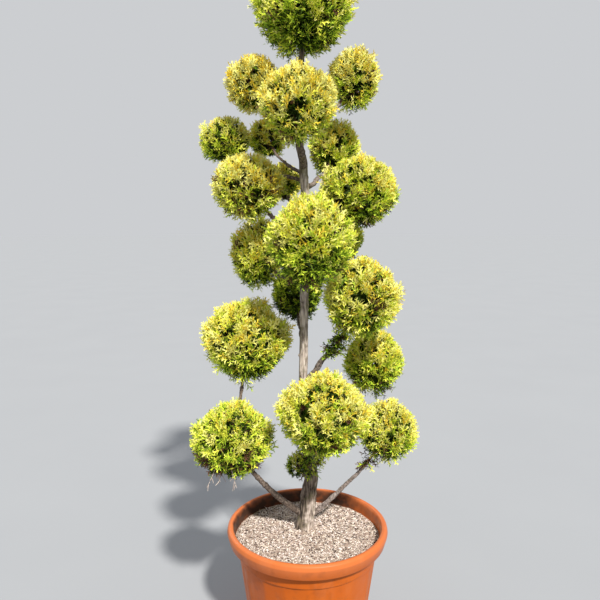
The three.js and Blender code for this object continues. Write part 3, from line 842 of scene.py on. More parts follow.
def inside_stain_and_shade(tree):
    """How dark the pot is painted, only on its inside: partly a wet-soil stain and partly painted shade, most
    at the soil and least on the right, where painted sunlight falls.
    """
    axes = object_axes(tree)
    level = add_node(tree, "CombineXYZ", {"X": axes["X"], "Y": axes["Y"]})["Vector"]
    radius = add_node(tree, "VectorMath", {0: level}, operation="LENGTH")["Value"]
    inside = map_value(tree, radius, STAIN_AND_SHADE_RADII, (-1.0, 0.0))
    above_soil = map_value(tree, axes["Z"], STAIN_AND_SHADE_FOOT, (-1.0, 0.0))
    # The right side of the inside stays paler: painted sunlight.
    dried = map_value(tree, axes["X"], SUNLIT_INSIDE, (0.0, -0.80))
    height = map_value(tree, axes["Z"], STAIN_AND_SHADE_FADE, (1.0, 0.80))
    ragged = noise_between(tree, -0.2, 0.2, 30, 5)
    return map_value(tree, add_values(tree, inside, above_soil, dried, height, ragged), (0.0, 1.0))


def soil_material():
    """Dry potting soil: pale beige crumbs over darker damp ones."""
    material, tree, shader = new_material("soil", (0.42, 0.33, 0.25), 0.96)
    tones = [(0.36, (0.12, 0.082, 0.058)), (0.48, (0.33, 0.250, 0.20)), (0.60, (0.57, 0.465, 0.39))]
    crumbs = ramp(tree, noise_value(tree, 260, 5), tones)
    patches = noise_between(tree, 0.0, 0.35, 16, 3)
    tree.links.new(blend_colours(tree, patches, crumbs, (0.22, 0.15, 0.11)), shader.inputs["Base Color"])
    add_bump(tree, shader, noise_value(tree, 420, 4), 0.9, 0.003)
    return material


def relief_noise(points, layers):
    """Noise at points, as the sum of layers of (scale across, scale along z, height)."""
    flat = points.reshape(-1, 3)
    total = np.zeros(len(flat))
    for across, along, height in layers:
        scale = np.array([across, across, along])
        total += height * np.array([noise.noise(Vector(point)) for point in flat * scale])
    return total.reshape(points.shape[:-1])


def build_trunk():
    """The trunk in level rings, with its main ridges, fibrous relief, root flare and stubs of cut twigs."""
    heights = np.linspace(TRUNK_FOOT, TRUNK_TIP, TRUNK_RINGS)[:, None]
    turn = np.arange(TRUNK_SIDES) * FULL_TURN / TRUNK_SIDES
    x, y, radius = trunk_station(heights)
    ridges = 1
    for count, height, rise in TRUNK_RIDGES:
        ridges = ridges + height * np.sin(count * turn + heights / rise)
    buttress = BUTTRESS_DEPTH * np.exp((SOIL_LEVEL - heights) / BUTTRESS_HEIGHT) * np.sin(5 * turn + 1.3)
    reach = radius * ridges + buttress
    middle = np.stack([x, y, 0 * x], axis=-1)
    skin = middle + around(reach, turn, heights)
    relief = relief_noise(skin, TRUNK_RELIEF)
    reach = reach + relief * np.minimum(1, radius / ROUGHEST_RADIUS) + twig_stubs(heights, turn)
    points = middle + around(reach, turn, heights)
    faces = tube_faces(1, TRUNK_RINGS, TRUNK_SIDES)
    trunk = mesh_object("trunk_bark", points, faces, trunk_material(), BARK_EDGE)
    finish_piece(trunk, ["trunk"])


def twig_stubs(heights, turn):
    """Low bumps on the trunk where twigs were cut off."""
    rng = np.random.default_rng(STUB_SEED)
    bumps = np.zeros((heights + turn).shape)
    for _ in range(STUBS):
        height = rng.uniform(*STUB_HEIGHTS)
        bearing = rng.uniform(0, FULL_TURN)
        width = rng.uniform(*STUB_WIDTH)
        aside = (np.mod(turn - bearing + math.pi, FULL_TURN) - math.pi) * MIDDLE_TRUNK_RADIUS
        gap = np.hypot(aside, heights - height) / width
        bumps += rng.uniform(*STUB_LENGTH) * np.exp(-(gap**3))
    return bumps


def build_boughs(pompons):
    """Every bough's tapering limb, swollen where it leaves the trunk and rough all along, as one piece."""
    held = [pompon for pompon in pompons if pompon.bough is not None]
    share = np.linspace(0.0, 1.0, BOUGH_RINGS)
    points = np.stack([along_curve(pompon.bough, share) for pompon in held])
    wander = np.stack([bough_wander(order, share) for order in range(len(held))])
    points = points + wander
    radii = np.stack([bough_radius(pompon, share) for pompon in held])
    rough = radii[..., None] + relief_noise(tube_rings(points, radii, BOUGH_SIDES), BOUGH_RELIEF)
    nodes = ["bough_" + pompon.name for pompon in held]
    wood_piece("bough_bark", points, rough, BOUGH_SIDES, bough_material(), BARK_EDGE, nodes)


def bough_radius(pompon, share):
    """The bough's taper, its swelling at the fork and a smaller knot or two further out."""
    rng = np.random.default_rng(pompon.seed)
    swell = BOUGH_SWELL * pompon.thick * np.exp(-BOUGH_SWELL_FADE * share)
    radius = lerp(pompon.thick, pompon.thin, share) + swell
    for _ in range(BOUGH_KNOTS):
        knot = rng.uniform(*KNOT_PLACES)
        radius = radius + KNOT_SWELL * pompon.thick * np.exp(-(((share - knot) / KNOT_LENGTH) ** 2))
    return radius


def bough_wander(order, share):
    """A slight waviness of the bough that leaves both its ends in place."""
    rng = np.random.default_rng(BOUGH_SEED + order)
    middle = np.sin(math.pi * share)[:, None]
    wave = 0
    for k in range(BOUGH_WAVES):
        height = rng.normal(0, BOUGH_WAVE_SPREAD, 3)
        wave = wave + height * np.sin(share[:, None] * math.pi * (k + 2) + rng.uniform(0, 6))
    return middle * wave


def blade(start, heading, length, width, lift):
    """A branchlet of scale leaves: one slim pointed face, a little turned about its own length."""
    forward = np.array([math.cos(heading), math.sin(heading), lift])
    aside = 0.5 * width * np.array([-math.sin(heading), math.cos(heading), 0.6 * math.sin(9 * heading)])
    return np.array([start - aside, start + aside, start + length * forward])


def spray_template(rng):
    """A flat feathery spray one unit long that grows along +Y: its blades' corners, and their tone's rise."""
    blades = []
    place = np.zeros(3)
    heading = math.pi / 2
    step = STEM_LENGTH / SPRAY_JOINTS
    side = rng.choice([-1, 1])
    for joint in range(SPRAY_JOINTS):
        bend = rng.uniform(-STEM_BEND, STEM_BEND)
        side = -side
        arm = (ARM_LENGTH + ARM_LENGTHENING * (1 - joint / SPRAY_JOINTS)) * rng.uniform(*ARM_VARIETY)
        angle = heading + side * rng.uniform(*ARM_ANGLE)
        lift = rng.uniform(*ARM_LIFT)
        blades.append(blade(place, heading + bend, STEM_BLADE_JOINTS * step, BLADE_WIDTH, 0.0))
        if joint > 0:
            blades += arm_blades(place, angle, arm, lift, side, rng)
        place = place + step * np.array([math.cos(heading + bend), math.sin(heading + bend), 0.0])
    points = of_unit_length(blades)
    points[..., 2] -= DROOP * points[..., 1] ** 2
    return points, lerp(*BLADE_RISE, points[..., 1].max(axis=1))


def arm_blades(place, angle, length, lift, side, rng):
    """An arm of a spray, and the one or two blades that stand off it."""
    blades = [blade(place, angle, length, ARM_WIDTH, lift)]
    reach = np.array([math.cos(angle), math.sin(angle), lift])
    for share, turn_side in TWINS if length > LONG_ARM else ONLY_TWIN:
        turn = turn_side * side * rng.uniform(*TWIN_ANGLE)
        start = place + share * length * reach
        blades.append(blade(start, angle - turn, TWIN_LENGTH * length, BLADE_WIDTH, lift + TWIN_LIFT))
    return blades


def shade_template(rng):
    """A broad spray one unit long for the shaded inside: a fan of a few wide blades, all of one tone."""
    blades = []
    for joint in range(SHADE_BLADES):
        share = joint / SHADE_BLADES
        start = np.array([0, SHADE_STEM * joint / SHADE_BLADES, 0])
        side = 1 if joint % 2 else -1
        angle = math.pi / 2 + side * rng.uniform(*SHADE_FAN) * (1 - SHADE_FAN_CLOSES * share)
        length = rng.uniform(*SHADE_BLADE_LENGTH)
        blades.append(blade(start, angle, length, SHADE_BLADE_WIDTH, rng.uniform(*SHADE_BLADE_LIFT)))
    return of_unit_length(blades), np.zeros(len(blades))


def of_unit_length(blades):
    """The blades' corners, stretched along +Y to about one unit."""
    points = np.array(blades)
    points[..., 1] *= SPRAY_TOP / points[..., 1].max()
    return points


def place_sprays(templates, sprays):
    """The blades of the sprays in place: for each kind its sprays, their points and their tone's rise."""
    x_axis = unit(np.cross(sprays.heading, sprays.spare))
    z_axis = np.cross(x_axis, sprays.heading)
    turn = np.stack([x_axis, sprays.heading, z_axis], axis=-1) * sprays.length[:, None, None]
    for kind, (points, rise) in enumerate(templates):
        chosen = np.flatnonzero(sprays.kind == kind)
        corners = np.einsum("sij,bcj->sbci", turn[chosen], points) + sprays.base[chosen][:, None, None]
        yield chosen, corners, rise


def grow_tufts(pompon, rng):
    """The part's rule at a finer grain: a tuft's root in the pompon, its heading and how far it reaches."""
    count = round(pompon.area * TUFTS_PER_M2)
    outward = spiral(count, rng.uniform(-TURN_JITTER, TURN_JITTER, count))
    heading = unit(outward + LEAN_UP * UP + LEAN_ASIDE * rng.uniform(-1, 1, (count, 3)))
    first = distance_to_skin(pompon, pompon.centre, outward, TUFT_ROOT_SHARE * spray_scale(pompon))
    root = pompon.centre + outward * first[:, None]
    skin = pompon.centre + outward * pompon.size
    swell = np.maximum(relief_noise(skin, [(SWELL_SCALE, SWELL_SCALE, SWELL_SHARE)]), -DEEPEST_HOLLOW)
    grown_share = lerp(*TIP_SHARE, rng.random(count)) * (filled_share(pompon, outward) + swell)
    tip_share = np.minimum(grown_share, FURTHEST_TIP_SHARE)
    tip_share += np.where(rng.random(count) < LEADER_SHARE, rng.uniform(0, LEADER_REACH, count), 0)
    reach = distance_to_skin(pompon, root, heading, tip_share)
    return SimpleNamespace(
        outward=outward, heading=heading, root=root, share=tip_share, reach=reach, swell=swell
    )


def spray_scale(pompon):
    """How much smaller the sprays are on the smallest pompons."""
    return min(1, lerp(LEAST_SPRAY_SCALE, 1, pompon.size[0] / SMALL_POMPON))


def grow_outer_sprays(pompon, tufts, rng):
    """Sprays along each tuft's twig: one leads and the others stand off it all round, a little shorter."""
    count = len(tufts.reach)
    shape = (count, SPRAYS_PER_TUFT)
    length = rng.uniform(*SPRAY_LENGTH, shape) * spray_scale(pompon)
    twig = np.maximum(tufts.reach - LEADING_SPRAY_PAST_TWIG * length[:, 0], SHORTEST_TWIG_SHARE * tufts.reach)
    along = np.linspace(1.0, LOWEST_SPRAY_PLACE, SPRAYS_PER_TUFT)
    along = along + rng.uniform(-SPRAY_PLACE_JITTER, SPRAY_PLACE_JITTER, shape)
    along[:, 0] = 1
    turn = np.arange(SPRAYS_PER_TUFT) * GOLDEN_ANGLE + rng.uniform(0, FULL_TURN, (count, 1))
    spread = rng.uniform(*SPRAY_SPREAD, shape)
    spread[:, 0] *= LEADING_SPREAD_SHARE
    side = unit(np.cross(tufts.heading, rng.normal(size=(count, 3))))
    other = np.cross(tufts.heading, side)
    off = side[:, None] * np.cos(turn)[..., None] + other[:, None] * np.sin(turn)[..., None]
    heading = tufts.heading[:, None] * np.cos(spread)[..., None] + off * np.sin(spread)[..., None]
    heading = unit(heading + SPRAY_LEAN_UP * UP)
    base = tufts.root[:, None] + tufts.heading[:, None] * (twig[:, None] * along)[..., None]
    side_share = np.where(np.arange(SPRAYS_PER_TUFT) == 0, 1, rng.uniform(*SIDE_SPRAY_REACH, shape))
    room = distance_to_skin(pompon, base, heading, tufts.share[:, None] * side_share)
    length = np.minimum(length, room)
    depth = np.linalg.norm((base - pompon.centre) / pompon.size, axis=-1)
    tone = outer_tone(pompon, tufts)[:, None] + rng.normal(0, TUFT_TONE_VARIETY, (count, 1))
    # Sprays deeper inside get a darker tone: painted shade.
    tone = tone + rng.normal(0, SPRAY_TONE_VARIETY, shape) - DEPTH_TONE * (LIT_DEPTH - depth)
    dead = dead_tufts(pompon, tufts, rng)[:, None] & (rng.random(shape) < DEAD_IN_TUFT)
    sprays = flat_sprays(pompon, base, heading, length, tone, dead, SPRAY_KINDS, rng)
    sprays.amber = (rng.random(shape) < amber_share(pompon, tufts)[:, None]).ravel()
    return sprays, twig


def outer_tone(pompon, tufts):
    """How golden each tuft is: more on top, on the lumps' middles and towards the sun, in soft patches. This
    is partly the leaves' own gold and partly painted light and shade.
    """
    patches = relief_noise(tufts.root + tufts.outward * TUFT_MIDDLE, TONE_PATCHES)
    lump = (filled_share(pompon, tufts.outward) - MIDDLE_FILLED_SHARE) / FILLED_RANGE
    facing = SUNNY_TONE * (tufts.outward @ SUNWARD) - UNDERSIDE_TONE * np.maximum(0, -tufts.outward[:, 2])
    return OUTER_TONE + pompon.gold + facing + LUMP_TONE * lump + SWELL_TONE * tufts.swell + patches


def amber_share(pompon, tufts):
    """How many of each tuft's sprays have amber tips: most on the sunny side of the most golden pompons."""
    share = AMBER_BY_GOLD * pompon.gold + AMBER_BY_SUN * (tufts.outward @ SUNWARD)
    return np.clip(share, 0.0, MOST_AMBER)


def dead_tufts(pompon, tufts, rng):
    """Which tufts are brown: most of them stand on the underside, where little light reaches."""
    shade = np.clip(SHADED_BELOW - tufts.outward[:, 2], 0, 1)
    return rng.random(len(tufts.reach)) < pompon.dead * (DEAD_ANYWHERE + DEAD_IN_SHADE * shade)


def grow_shade_sprays(pompon, rng):
    """Broad sprays inside, dark green as painted shade or dead, that keep the pompon from being seen through.
    """
    count = round(pompon.area * SHADE_SPRAYS_PER_M2)
    outward = spiral(count, rng.uniform(-1, 1, count))
    share = rng.uniform(*SHADE_SHARE, count)
    base = pompon.centre + outward * distance_to_skin(pompon, pompon.centre, outward, share)[:, None]
    heading = unit(outward + SHADE_LEAN_UP * UP + SHADE_LEAN_ASIDE * rng.uniform(-1, 1, (count, 3)))
    room = distance_to_skin(pompon, base, heading, SHADE_FURTHEST_SHARE * filled_share(pompon, outward))
    length = np.minimum(rng.uniform(*SHADE_LENGTH, count) * spray_scale(pompon), room)
    tone = rng.uniform(*SHADE_TONE, count)
    dead = rng.random(count) < DEAD_INSIDE[0] + DEAD_INSIDE[1] * pompon.dead
    return flat_sprays(pompon, base, heading, length, tone, dead, SHADE_KINDS, rng)


def grow_skirt(pompon, count, stretch, trunk_share, middle_tone, dead_share):
    """Sprays on the bare wood under a pompon, on the front of its bough and of the trunk."""
    rng = np.random.default_rng(SKIRT_SEED + pompon.seed)
    turn = rng.uniform(*SKIRT_BEARINGS, count)
    outward = around(1, turn, 0)
    height = rng.uniform(*SKIRT_TRUNK_HEIGHTS, count)
    depth = outward * SKIRT_ROOT_SHARE
    on_trunk = trunk_at(height) + depth * trunk_station(height)[2][:, None]
    share = rng.uniform(*stretch, count)
    on_bough = along_curve(pompon.bough, share) + depth * bough_radius(pompon, share)[:, None]
    base = np.where(rng.random((count, 1)) < trunk_share, on_trunk, on_bough)
    lean_up = rng.uniform(*SKIRT_LEAN_UP, (count, 1)) * UP
    heading = unit(outward + lean_up + rng.normal(0, SKIRT_LEAN_ASIDE, base.shape))
    length = rng.uniform(*SKIRT_LENGTH, count)
    tone = rng.normal(middle_tone, SKIRT_TONE_VARIETY, count)
    # Paler towards the right: painted sunlight.
    tone = tone + SKIRT_SUNNY_TONE * np.clip(outward[:, 0], -0.5, 1)
    dead = rng.random(count) < dead_share
    return flat_sprays(pompon, base, heading, length, tone, dead, SPRAY_KINDS, rng)


def flat_sprays(pompon, base, heading, length, tone, dead, kinds, rng):
    """One list of sprays from arrays of any shape, each with its kind and the way its flat side faces."""
    shortest = SHORTEST_SPRAY * spray_scale(pompon)
    count = length.size
    return SimpleNamespace(
        base=base.reshape(-1, 3),
        heading=heading.reshape(-1, 3),
        length=length.ravel(),
        tone=tone.ravel(),
        dead=dead.ravel(),
        amber=np.zeros(count, bool),
        shortest=np.full(count, shortest),
        spare=rng.normal(size=(count, 3)),
        kind=rng.integers(0, kinds, count),
    )


def pick(sprays, chosen):
    return SimpleNamespace(**{key: value[chosen] for key, value in vars(sprays).items()})


def join_sprays(groups):
    joined = SimpleNamespace()
    for key in vars(groups[0]):
        setattr(joined, key, np.concatenate([vars(group)[key] for group in groups]))
    return joined


def limb_samples(pompons):
    """Points along the trunk and every bough, each with the limb's radius there."""
    heights = np.arange(SOIL_LEVEL, TRUNK_TIP, TRUNK_SAMPLE_STEP)
    points = [trunk_at(heights)]
    radii = [trunk_station(heights)[2]]
    share = np.linspace(0, 1, BOUGH_SAMPLES)
    for pompon in pompons:
        if pompon.bough is not None:
            points.append(along_curve(pompon.bough, share))
            radii.append(bough_radius(pompon, share))
    return np.concatenate(points), np.concatenate(radii)


def clear_of_limbs(sprays, limbs):
    """The sprays that are long enough and stay off the trunk and the boughs."""
    places, radii = limbs
    clear = sprays.length > sprays.shortest
    for share in SPRAY_SAMPLES:
        at = sprays.base + sprays.heading * (sprays.length * share)[:, None]
        near = np.linalg.norm(at[:, None] - places, axis=-1) < radii + LIMB_CLEARANCE
        clear &= ~near.any(axis=1)
    return pick(sprays, clear)


def stem_of(pompon):
    """The pompon's stem, from the bough's tip inwards, or the trunk's own top inside the top pompon."""
    if pompon.bough is None:
        return tuple(trunk_at(height) for height in TOP_STEM)
    start, bend, tip = pompon.bough
    return tip, tip + unit(tip - bend) * STEM_DEPTH_SHARE * pompon.size[0]


def grow_twigs(pompon, tufts, twig, rng):
    """The pompon's wood: its stem, limblets that fork from it, and a twig from a limblet to each tuft."""
    low, high = stem_of(pompon)
    share = np.linspace(0, 1, TWIG_POINTS)
    stem = low + (high - low) * share[:, None]
    outward = spiral(LIMBLETS, rng.uniform(-LIMBLET_TURN_JITTER, LIMBLET_TURN_JITTER, LIMBLETS))
    ends = pompon.centre + outward * pompon.size * rng.uniform(*LIMBLET_REACH, (LIMBLETS, 1))
    starts = low + (high - low) * rng.uniform(*LIMBLET_STARTS, (LIMBLETS, 1))
    arch = unit(high - low) * LIMBLET_ARCH
    bends = lerp(starts, ends, 0.5) + arch + rng.normal(0, LIMBLET_WANDER, (LIMBLETS, 3))
    limblets = np.stack([along_curve(curve, share) for curve in zip(starts, bends, ends)])
    nearest = (tufts.outward @ outward.T).argmax(axis=1)
    origin = limblets[nearest, rng.integers(TWIG_POINTS // 2, TWIG_POINTS, len(nearest))]
    end = tufts.root + tufts.heading * (twig * TWIG_PAST_END)[:, None]
    bend = tufts.root + rng.normal(0, TWIG_WANDER, origin.shape)
    twigs = np.stack([along_curve(curve, share) for curve in zip(origin, bend, end)])
    wood = np.concatenate([stem[None], limblets, twigs])
    roots = rng.uniform(*TWIG_ROOT_RADII, len(twigs))
    tips = np.full(len(twigs), TWIG_TIP_RADIUS)
    thick = np.concatenate([[pompon.thin], np.full(LIMBLETS, LIMBLET_RADII[0]), roots])
    thin = np.concatenate([[STEM_TAPER * pompon.thin], np.full(LIMBLETS, LIMBLET_RADII[1]), tips])
    return wood, lerp(thick[:, None], thin[:, None], share)


def tint_order(tone):
    """The number of the tint that each tone takes."""
    order = np.zeros(tone.shape, int)
    for _, lowest, _ in LEAF_TINTS[:-1]:
        order += tone < lowest
    return order


def deal_blades(templates, sprays, shares, rng):
    """Deals every spray's blades to their tints' shares, paler from its base to its tips."""
    for chosen, corners, rise in place_sprays(templates, sprays):
        tone = sprays.tone[chosen][:, None] + rise
        tint = tint_order(tone + rng.normal(0, BLADE_VARIETY, tone.shape))
        tint[sprays.amber[chosen][:, None] & (tint < TINTS_THAT_TURN)] = len(LEAF_TINTS)
        tint[sprays.dead[chosen]] = len(LEAF_TINTS) + 1
        for number, share in enumerate(shares):
            share.append(corners[tint == number])


def build_leaves(outer, shaded, pompon_nodes):
    """Every spray's blades, joined into pieces by their tint."""
    spray_kinds = [spray_template(np.random.default_rng(SPRAY_SEED + kind)) for kind in range(SPRAY_KINDS)]
    shade_kinds = [shade_template(np.random.default_rng(SHADE_SEED + kind)) for kind in range(SHADE_KINDS)]
    shares = [[] for _ in range(len(LEAF_TINTS) + 2)]
    rng = np.random.default_rng(TINT_SEED)
    deal_blades(spray_kinds, outer, shares, rng)
    deal_blades(shade_kinds, shaded, shares, rng)
    names = [(name, colour) for name, _, colour in LEAF_TINTS] + [AMBER_TINT, DEAD_TINT]
    for (name, colour), share in zip(names, shares):
        build_tint(name, leaf_material(name, colour), np.concatenate(share), pompon_nodes)


def build_tint(name, material, blades, pompon_nodes):
    """One tint's blades in as many pieces as the limit on triangles asks for."""
    parts = math.ceil(len(blades) / MOST_TRIANGLES)
    for part, some in enumerate(np.array_split(blades, parts)):
        faces = np.arange(3 * len(some)).reshape(-1, 3)
        leaves = mesh_object(f"leaves_{name}_{part + 1}", some, [faces], material)
        finish_piece(leaves, pompon_nodes)


def pompon_named(pompons, name):
    return next(pompon for pompon in pompons if pompon.name == name)


def build_foliage(pompons):
    """Every pompon's twigs and sprays, and the sprays on the bare wood, joined by their kind."""
    limbs = limb_samples(pompons)
    outer, shaded, wood, radii = [], [], [], []
    for pompon in pompons:
        rng = np.random.default_rng(pompon.seed)
        tufts = grow_tufts(pompon, rng)
        sprays, twig = grow_outer_sprays(pompon, tufts, rng)
        outer.append(clear_of_limbs(sprays, limbs))
        shaded.append(clear_of_limbs(grow_shade_sprays(pompon, rng), limbs))
        lines, widths = grow_twigs(pompon, tufts, twig, rng)
        wood.append(lines)
        radii.append(widths)
    for name, *skirt in SKIRT_ROWS:
        outer.append(grow_skirt(pompon_named(pompons, name), *skirt))
    pompon_nodes = ["pompon_" + pompon.name for pompon in pompons]
    build_leaves(join_sprays(outer), join_sprays(shaded), pompon_nodes)
    wood_piece("twigs", np.concatenate(wood), np.concatenate(radii), TWIG_SIDES, twig_material(), TWIG_EDGE)


def build_dry_twigs(pompons):
    """Bare dead twigs that hang from the underside of the large pompon low on the left."""
    pompon = pompon_named(pompons, "base_left")
    rng = np.random.default_rng(DRY_TWIG_SEED)
    share = np.linspace(0, 1, DRY_TWIG_POINTS)
    lines = []
    for _ in range(DRY_TWIGS):
        place = np.array([*rng.uniform(*DRY_TWIG_START), DRY_TWIG_START_HEIGHT])
        start = pompon.centre + pompon.size * place
        bend = start + rng.uniform(*DRY_TWIG_BEND) * (1, 1, -1)
        end = bend + rng.uniform(*DRY_TWIG_END) * (1, 1, -1)
        lines.append(along_curve((start, bend, end), share))
        for fork_share in DRY_TWIG_FORKS:
            fork = along_curve((start, bend, end), fork_share)
            tip = fork + rng.normal(0, DRY_FORK_SPREAD, 3) - DRY_FORK_DROP * UP
            middle = lerp(fork, tip, 0.5) + rng.normal(0, DRY_FORK_WANDER, 3)
            lines.append(along_curve((fork, middle, tip), share))
    radii = np.linspace(*DRY_TWIG_RADII, DRY_TWIG_POINTS) * np.ones((len(lines), 1))
    wood_piece("dry_twigs", np.array(lines), radii, DRY_TWIG_SIDES, dry_twig_material(), BARK_EDGE)


def rounded_outline(corners):
    """The outline with each corner between its ends replaced by a small arc."""
    places = np.array(corners)
    parts = [places[:1]]
    for before, corner, after in zip(places, places[1:], places[2:]):
        arc = (beside_corner(corner, before), corner, beside_corner(corner, after))
        parts.append(along_curve(arc, np.linspace(0, 1, CORNER_STEPS)))
    return np.concatenate([*parts, places[-1:]])


def beside_corner(corner, neighbour):
    """The end of a corner's arc on the side of a neighbour, with the corner's own relief."""
    gap = np.linalg.norm((neighbour - corner)[:2])
    point = corner + (neighbour - corner) * min(CORNER_RADIUS, 0.4 * gap) / gap
    point[2] = corner[2]
    return point


def pot_outline():
    """The pot's outline, up the outside, over the collar and down the inside: radius, height and relief."""
    band = BODY_TOP_RADIUS + BAND_STEP
    return [
        (BASE_RADIUS - 0.006, 0, 0),
        (BASE_RADIUS, 0.008, 0),
        (BASE_RADIUS + 0.002, 0.026, 1),
        (BODY_TOP_RADIUS, BAND_FOOT, 1),
        (band, BAND_FOOT + 0.003, 0),
        (band + 0.004, COLLAR_FOOT - 0.006, 0),
        (NECK_RADIUS + WALL, COLLAR_FOOT + 0.003, 0),
        (NECK_RADIUS + WALL + 0.002, POT_HEIGHT - 0.012, 0),
        (RIM_RADIUS - 0.012, POT_HEIGHT - 0.014, 0),
        (RIM_RADIUS - 0.015, COLLAR_FOOT, 0),
        (RIM_RADIUS - 0.010, COLLAR_FOOT, 0),
        (RIM_RADIUS, POT_HEIGHT - 0.020, 0),
        (RIM_RADIUS - 0.003, POT_HEIGHT - 0.006, 0),
        (RIM_RADIUS - 0.011, POT_HEIGHT, 0),
        (RIM_RADIUS - 0.021, POT_HEIGHT - 0.002, 0),
        (NECK_RADIUS + 0.002, POT_HEIGHT - 0.012, 0),
        (NECK_RADIUS, SHOULDER_TOP, 0),
        (BODY_TOP_RADIUS, SHOULDER_FOOT, 0),
        (FLOOR_RADIUS, FLOOR_THICKNESS, 0),
    ]


def wall_relief(turn):
    """How far the wall stands out round the pot: fluted panels front and back, ribs at the sides."""
    from_panel = np.abs(np.degrees(turn) % 180 - 90)
    flute = PANEL_FLUTES * (from_panel + PANEL_HALF_ANGLE) / (2 * PANEL_HALF_ANGLE)
    rib = SIDE_RIBS * (from_panel - PANEL_HALF_ANGLE) / (90 - PANEL_HALF_ANGLE)
    on_panel = -FLUTE_DEPTH * np.abs(np.sin(math.pi * flute))
    return np.where(from_panel < PANEL_HALF_ANGLE, on_panel, RIB_HEIGHT * np.abs(np.sin(math.pi * rib)))


def build_pot():
    """The pot's fine mesh, with its drain slots cut out of the foot."""
    outline = rounded_outline(pot_outline())
    turn = np.arange(POT_SEGMENTS) * FULL_TURN / POT_SEGMENTS
    radius = outline[:, :1] + outline[:, 2:] * wall_relief(turn)
    points = around(radius, turn, outline[:, 1:2])
    faces = tube_faces(1, len(outline), POT_SEGMENTS)
    pot = mesh_object("pot_shell", points, faces, pot_material(), POT_EDGE)
    cut_drain_slots(pot)
    finish_piece(pot, ["pot"])


def cut_drain_slots(pot):
    """Cuts the drain slots with one Boolean, applied to the mesh."""
    corners = np.array([(x, y, z) for x in (-0.5, 0.5) for y in (-0.5, 0.5) for z in (-1, 1)])
    corners = corners * [DRAIN_SLOT_DEPTH, DRAIN_SLOT_LENGTH, DRAIN_SLOT_HEIGHT] + [BASE_RADIUS, 0, 0]
    quads = np.array([[0, 1, 3, 2], [4, 6, 7, 5], [0, 4, 5, 1], [2, 3, 7, 6], [0, 2, 6, 4], [1, 5, 7, 3]])
    boxes = []
    for i in range(DRAIN_SLOTS):
        spin = np.array(Matrix.Rotation(FULL_TURN * (i + 0.5) / DRAIN_SLOTS, 3, "Z"))
        boxes.append(corners @ spin.T)
    faces = np.concatenate([quads + 8 * i for i in range(DRAIN_SLOTS)])
    cutter = mesh_object("slot_cutter", np.concatenate(boxes), [faces], pot.data.materials[0])
    cut = pot.modifiers.new("drain_slots", "BOOLEAN")
    cut.operation = "DIFFERENCE"
    cut.solver = "EXACT"
    cut.object = cutter
    depsgraph = bpy.context.evaluated_depsgraph_get()
    pot.data = bpy.data.meshes.new_from_object(pot.evaluated_get(depsgraph))
    pot.modifiers.clear()
    bpy.data.objects.remove(cutter)


def from_trunk(x, y):
    return np.hypot(x - TRUNK_FOOT_X, y - TRUNK_FOOT_Y)


def soil_height(x, y):
    """The soil's surface: lumpy, lower at the wall and a little raised round the trunk."""
    lumps = relief_noise(np.stack([x, y, 0 * x], axis=-1), SOIL_LUMPS)
    mound = MOUND_HEIGHT * np.exp(-(from_trunk(x, y) / MOUND_WIDTH) ** 2)
    edge = EDGE_DROP * np.clip((np.hypot(x, y) - EDGE_START) / EDGE_WIDTH, 0, 1)
    return SOIL_LEVEL + lumps + mound - edge


def build_soil():
    """The soil's lumpy surface over its plain underside, and the crumbs and fibres that lie on it."""
    rng = np.random.default_rng(SOIL_SEED)
    radius = np.sqrt(np.linspace(INNERMOST_RING, 1, SOIL_RINGS)) * (NECK_RADIUS - SOIL_TOP_CLEARANCE)
    turn = np.arange(SOIL_SEGMENTS) * FULL_TURN / SOIL_SEGMENTS
    x, y = radius[:, None] * np.cos(turn), radius[:, None] * np.sin(turn)
    top = np.stack([x, y, soil_height(x, y)], axis=-1)[::-1]
    foot = around(FLOOR_RADIUS - SOIL_CLEARANCE, turn, FLOOR_THICKNESS)
    shoulder = around(BODY_TOP_RADIUS - SOIL_CLEARANCE, turn, SHOULDER_FOOT)
    points = np.stack([foot, shoulder, *top])
    faces = tube_faces(1, len(points), SOIL_SEGMENTS)
    soil = mesh_object("soil_bed", points, faces, soil_material(), SOIL_EDGE)
    finish_piece(soil, ["soil"])
    for name, share, dark, pale in CRUMB_KINDS:
        material = crumb_material(name, dark, pale)
        scatter(name, round(CRUMBS * share), crumb_shape(), CRUMB_LENGTH, material, rng)
    straw = crumb_material("fibres", (0.55, 0.45, 0.36), (0.86, 0.78, 0.68))
    scatter("fibres", FIBRES, fibre_shape(), FIBRE_LENGTH, straw, rng)


def crumb_shape():
    """A crumb of soil: a squat lump of eight faces, one unit long."""
    middle = [[0.5, 0, 0], [0, 0.4, 0], [-0.45, 0.05, 0], [0, -0.4, 0.05]]
    points = np.array([*middle, [0.05, 0, 0.32], [0, 0, -0.25]])
    faces = np.array([[0, 1, 4], [1, 2, 4], [2, 3, 4], [3, 0, 4], [1, 0, 5], [2, 1, 5], [3, 2, 5], [0, 3, 5]])
    return points, faces


def fibre_shape():
    """A splinter of bark or straw: a thin four-sided sliver with pointed ends, one unit long."""
    points, faces = crumb_shape()
    return points * [1, 0.16, 0.22], faces


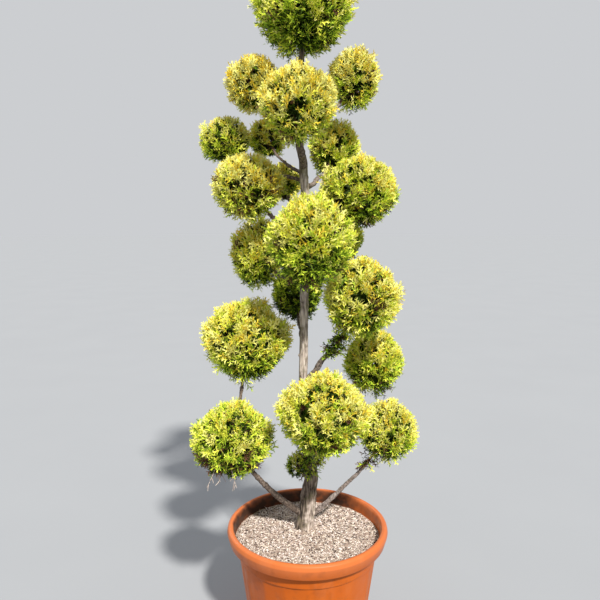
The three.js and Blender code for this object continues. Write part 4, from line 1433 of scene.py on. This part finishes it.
def scatter(name, count, shape, sizes, material, rng):
    """Copies of a small shape strewn over the soil, joined as one mesh."""
    points, faces = shape
    radius = (NECK_RADIUS - STREWN_OFF_WALL) * np.sqrt(rng.random(count))
    turn = rng.uniform(0, FULL_TURN, count)
    x = radius * np.cos(turn)
    y = radius * np.sin(turn)
    off_trunk = from_trunk(x, y) > STREWN_OFF_TRUNK
    x, y = x[off_trunk], y[off_trunk]
    size = rng.uniform(*sizes, len(x))
    spin = rng.uniform(0, FULL_TURN, len(x))
    tilt = rng.normal(0, STREWN_TILT, len(x))
    local = points[None] * size[:, None, None]
    lifted = local[..., 2] + local[..., 0] * np.sin(tilt)[:, None]
    east = local[..., 0] * np.cos(spin)[:, None] - local[..., 1] * np.sin(spin)[:, None]
    north = local[..., 0] * np.sin(spin)[:, None] + local[..., 1] * np.cos(spin)[:, None]
    lie = soil_height(x, y) + STREWN_LIFT * size
    placed = np.stack([x[:, None] + east, y[:, None] + north, lie[:, None] + lifted], axis=-1)
    joined = (np.arange(len(x))[:, None, None] * len(points) + faces).reshape(-1, 3)
    piece = mesh_object(name, placed, [joined], material)
    finish_piece(piece, [])


def build_camera():
    data = bpy.data.cameras.new("camera")
    data.sensor_width = SENSOR_WIDTH
    data.lens = CAMERA_LENS
    camera = add_object("camera", data)
    camera.location = CAMERA_PLACE
    camera.rotation_euler = (math.pi / 2 - CAMERA_PITCH, 0, 0)
    bpy.context.scene.camera = camera


def build_floor():
    """A wide plain floor of a pale, faintly uneven tone, as bright under the lights as the surround."""
    material, tree, shader = new_material("pale_floor", (0.289, 0.300, 0.318), 0.95, 0.0)
    tint = ramp(tree, noise_value(tree, 1.5, 2), [(0.3, (0.286, 0.297, 0.315)), (0.7, (0.292, 0.303, 0.321))])
    tree.links.new(tint, shader.inputs["Base Color"])
    turn = np.arange(FLOOR_SIDES) * FULL_TURN / FLOOR_SIDES
    floor = mesh_object("floor", around(FLOOR_REACH, turn, 0), [np.arange(FLOOR_SIDES)[None]], material)
    floor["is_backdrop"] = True


def add_sun(name, strength, softness, direction, colour):
    data = bpy.data.lights.new(name, "SUN")
    data.energy = strength
    data.angle = math.radians(softness)
    data.color = colour
    sun = add_object(name, data)
    sun.rotation_euler = Vector(direction).to_track_quat("Z", "Y").to_euler()


def build_lights():
    """A soft key from the upper right front, a weak fill from the back left, and a pale surround."""
    add_sun("key_light", 6.0, 4, (0.36, -0.93, 1.0), (1.0, 0.965, 0.90))
    add_sun("back_fill", 0.8, 30, (-0.6, 0.7, 0.6), (0.95, 0.97, 1.0))
    world = bpy.data.worlds.new("surround")
    world.use_nodes = True
    background = world.node_tree.nodes["Background"]
    background.inputs["Color"].default_value = (0.93, 0.95, 0.98, 1)
    background.inputs["Strength"].default_value = 0.65
    bpy.context.scene.world = world
    bpy.context.scene.view_settings.view_transform = "Standard"


def main():
    build_camera()
    build_floor()
    build_lights()
    pompons = make_pompons()
    build_pot()
    build_soil()
    build_trunk()
    build_boughs(pompons)
    build_foliage(pompons)
    build_dry_twigs(pompons)


main()
visual_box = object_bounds()
boxes = {"cad": cad_box, "visual": visual_box}
{key: [list(corner) for corner in box] for key, box in boxes.items()}
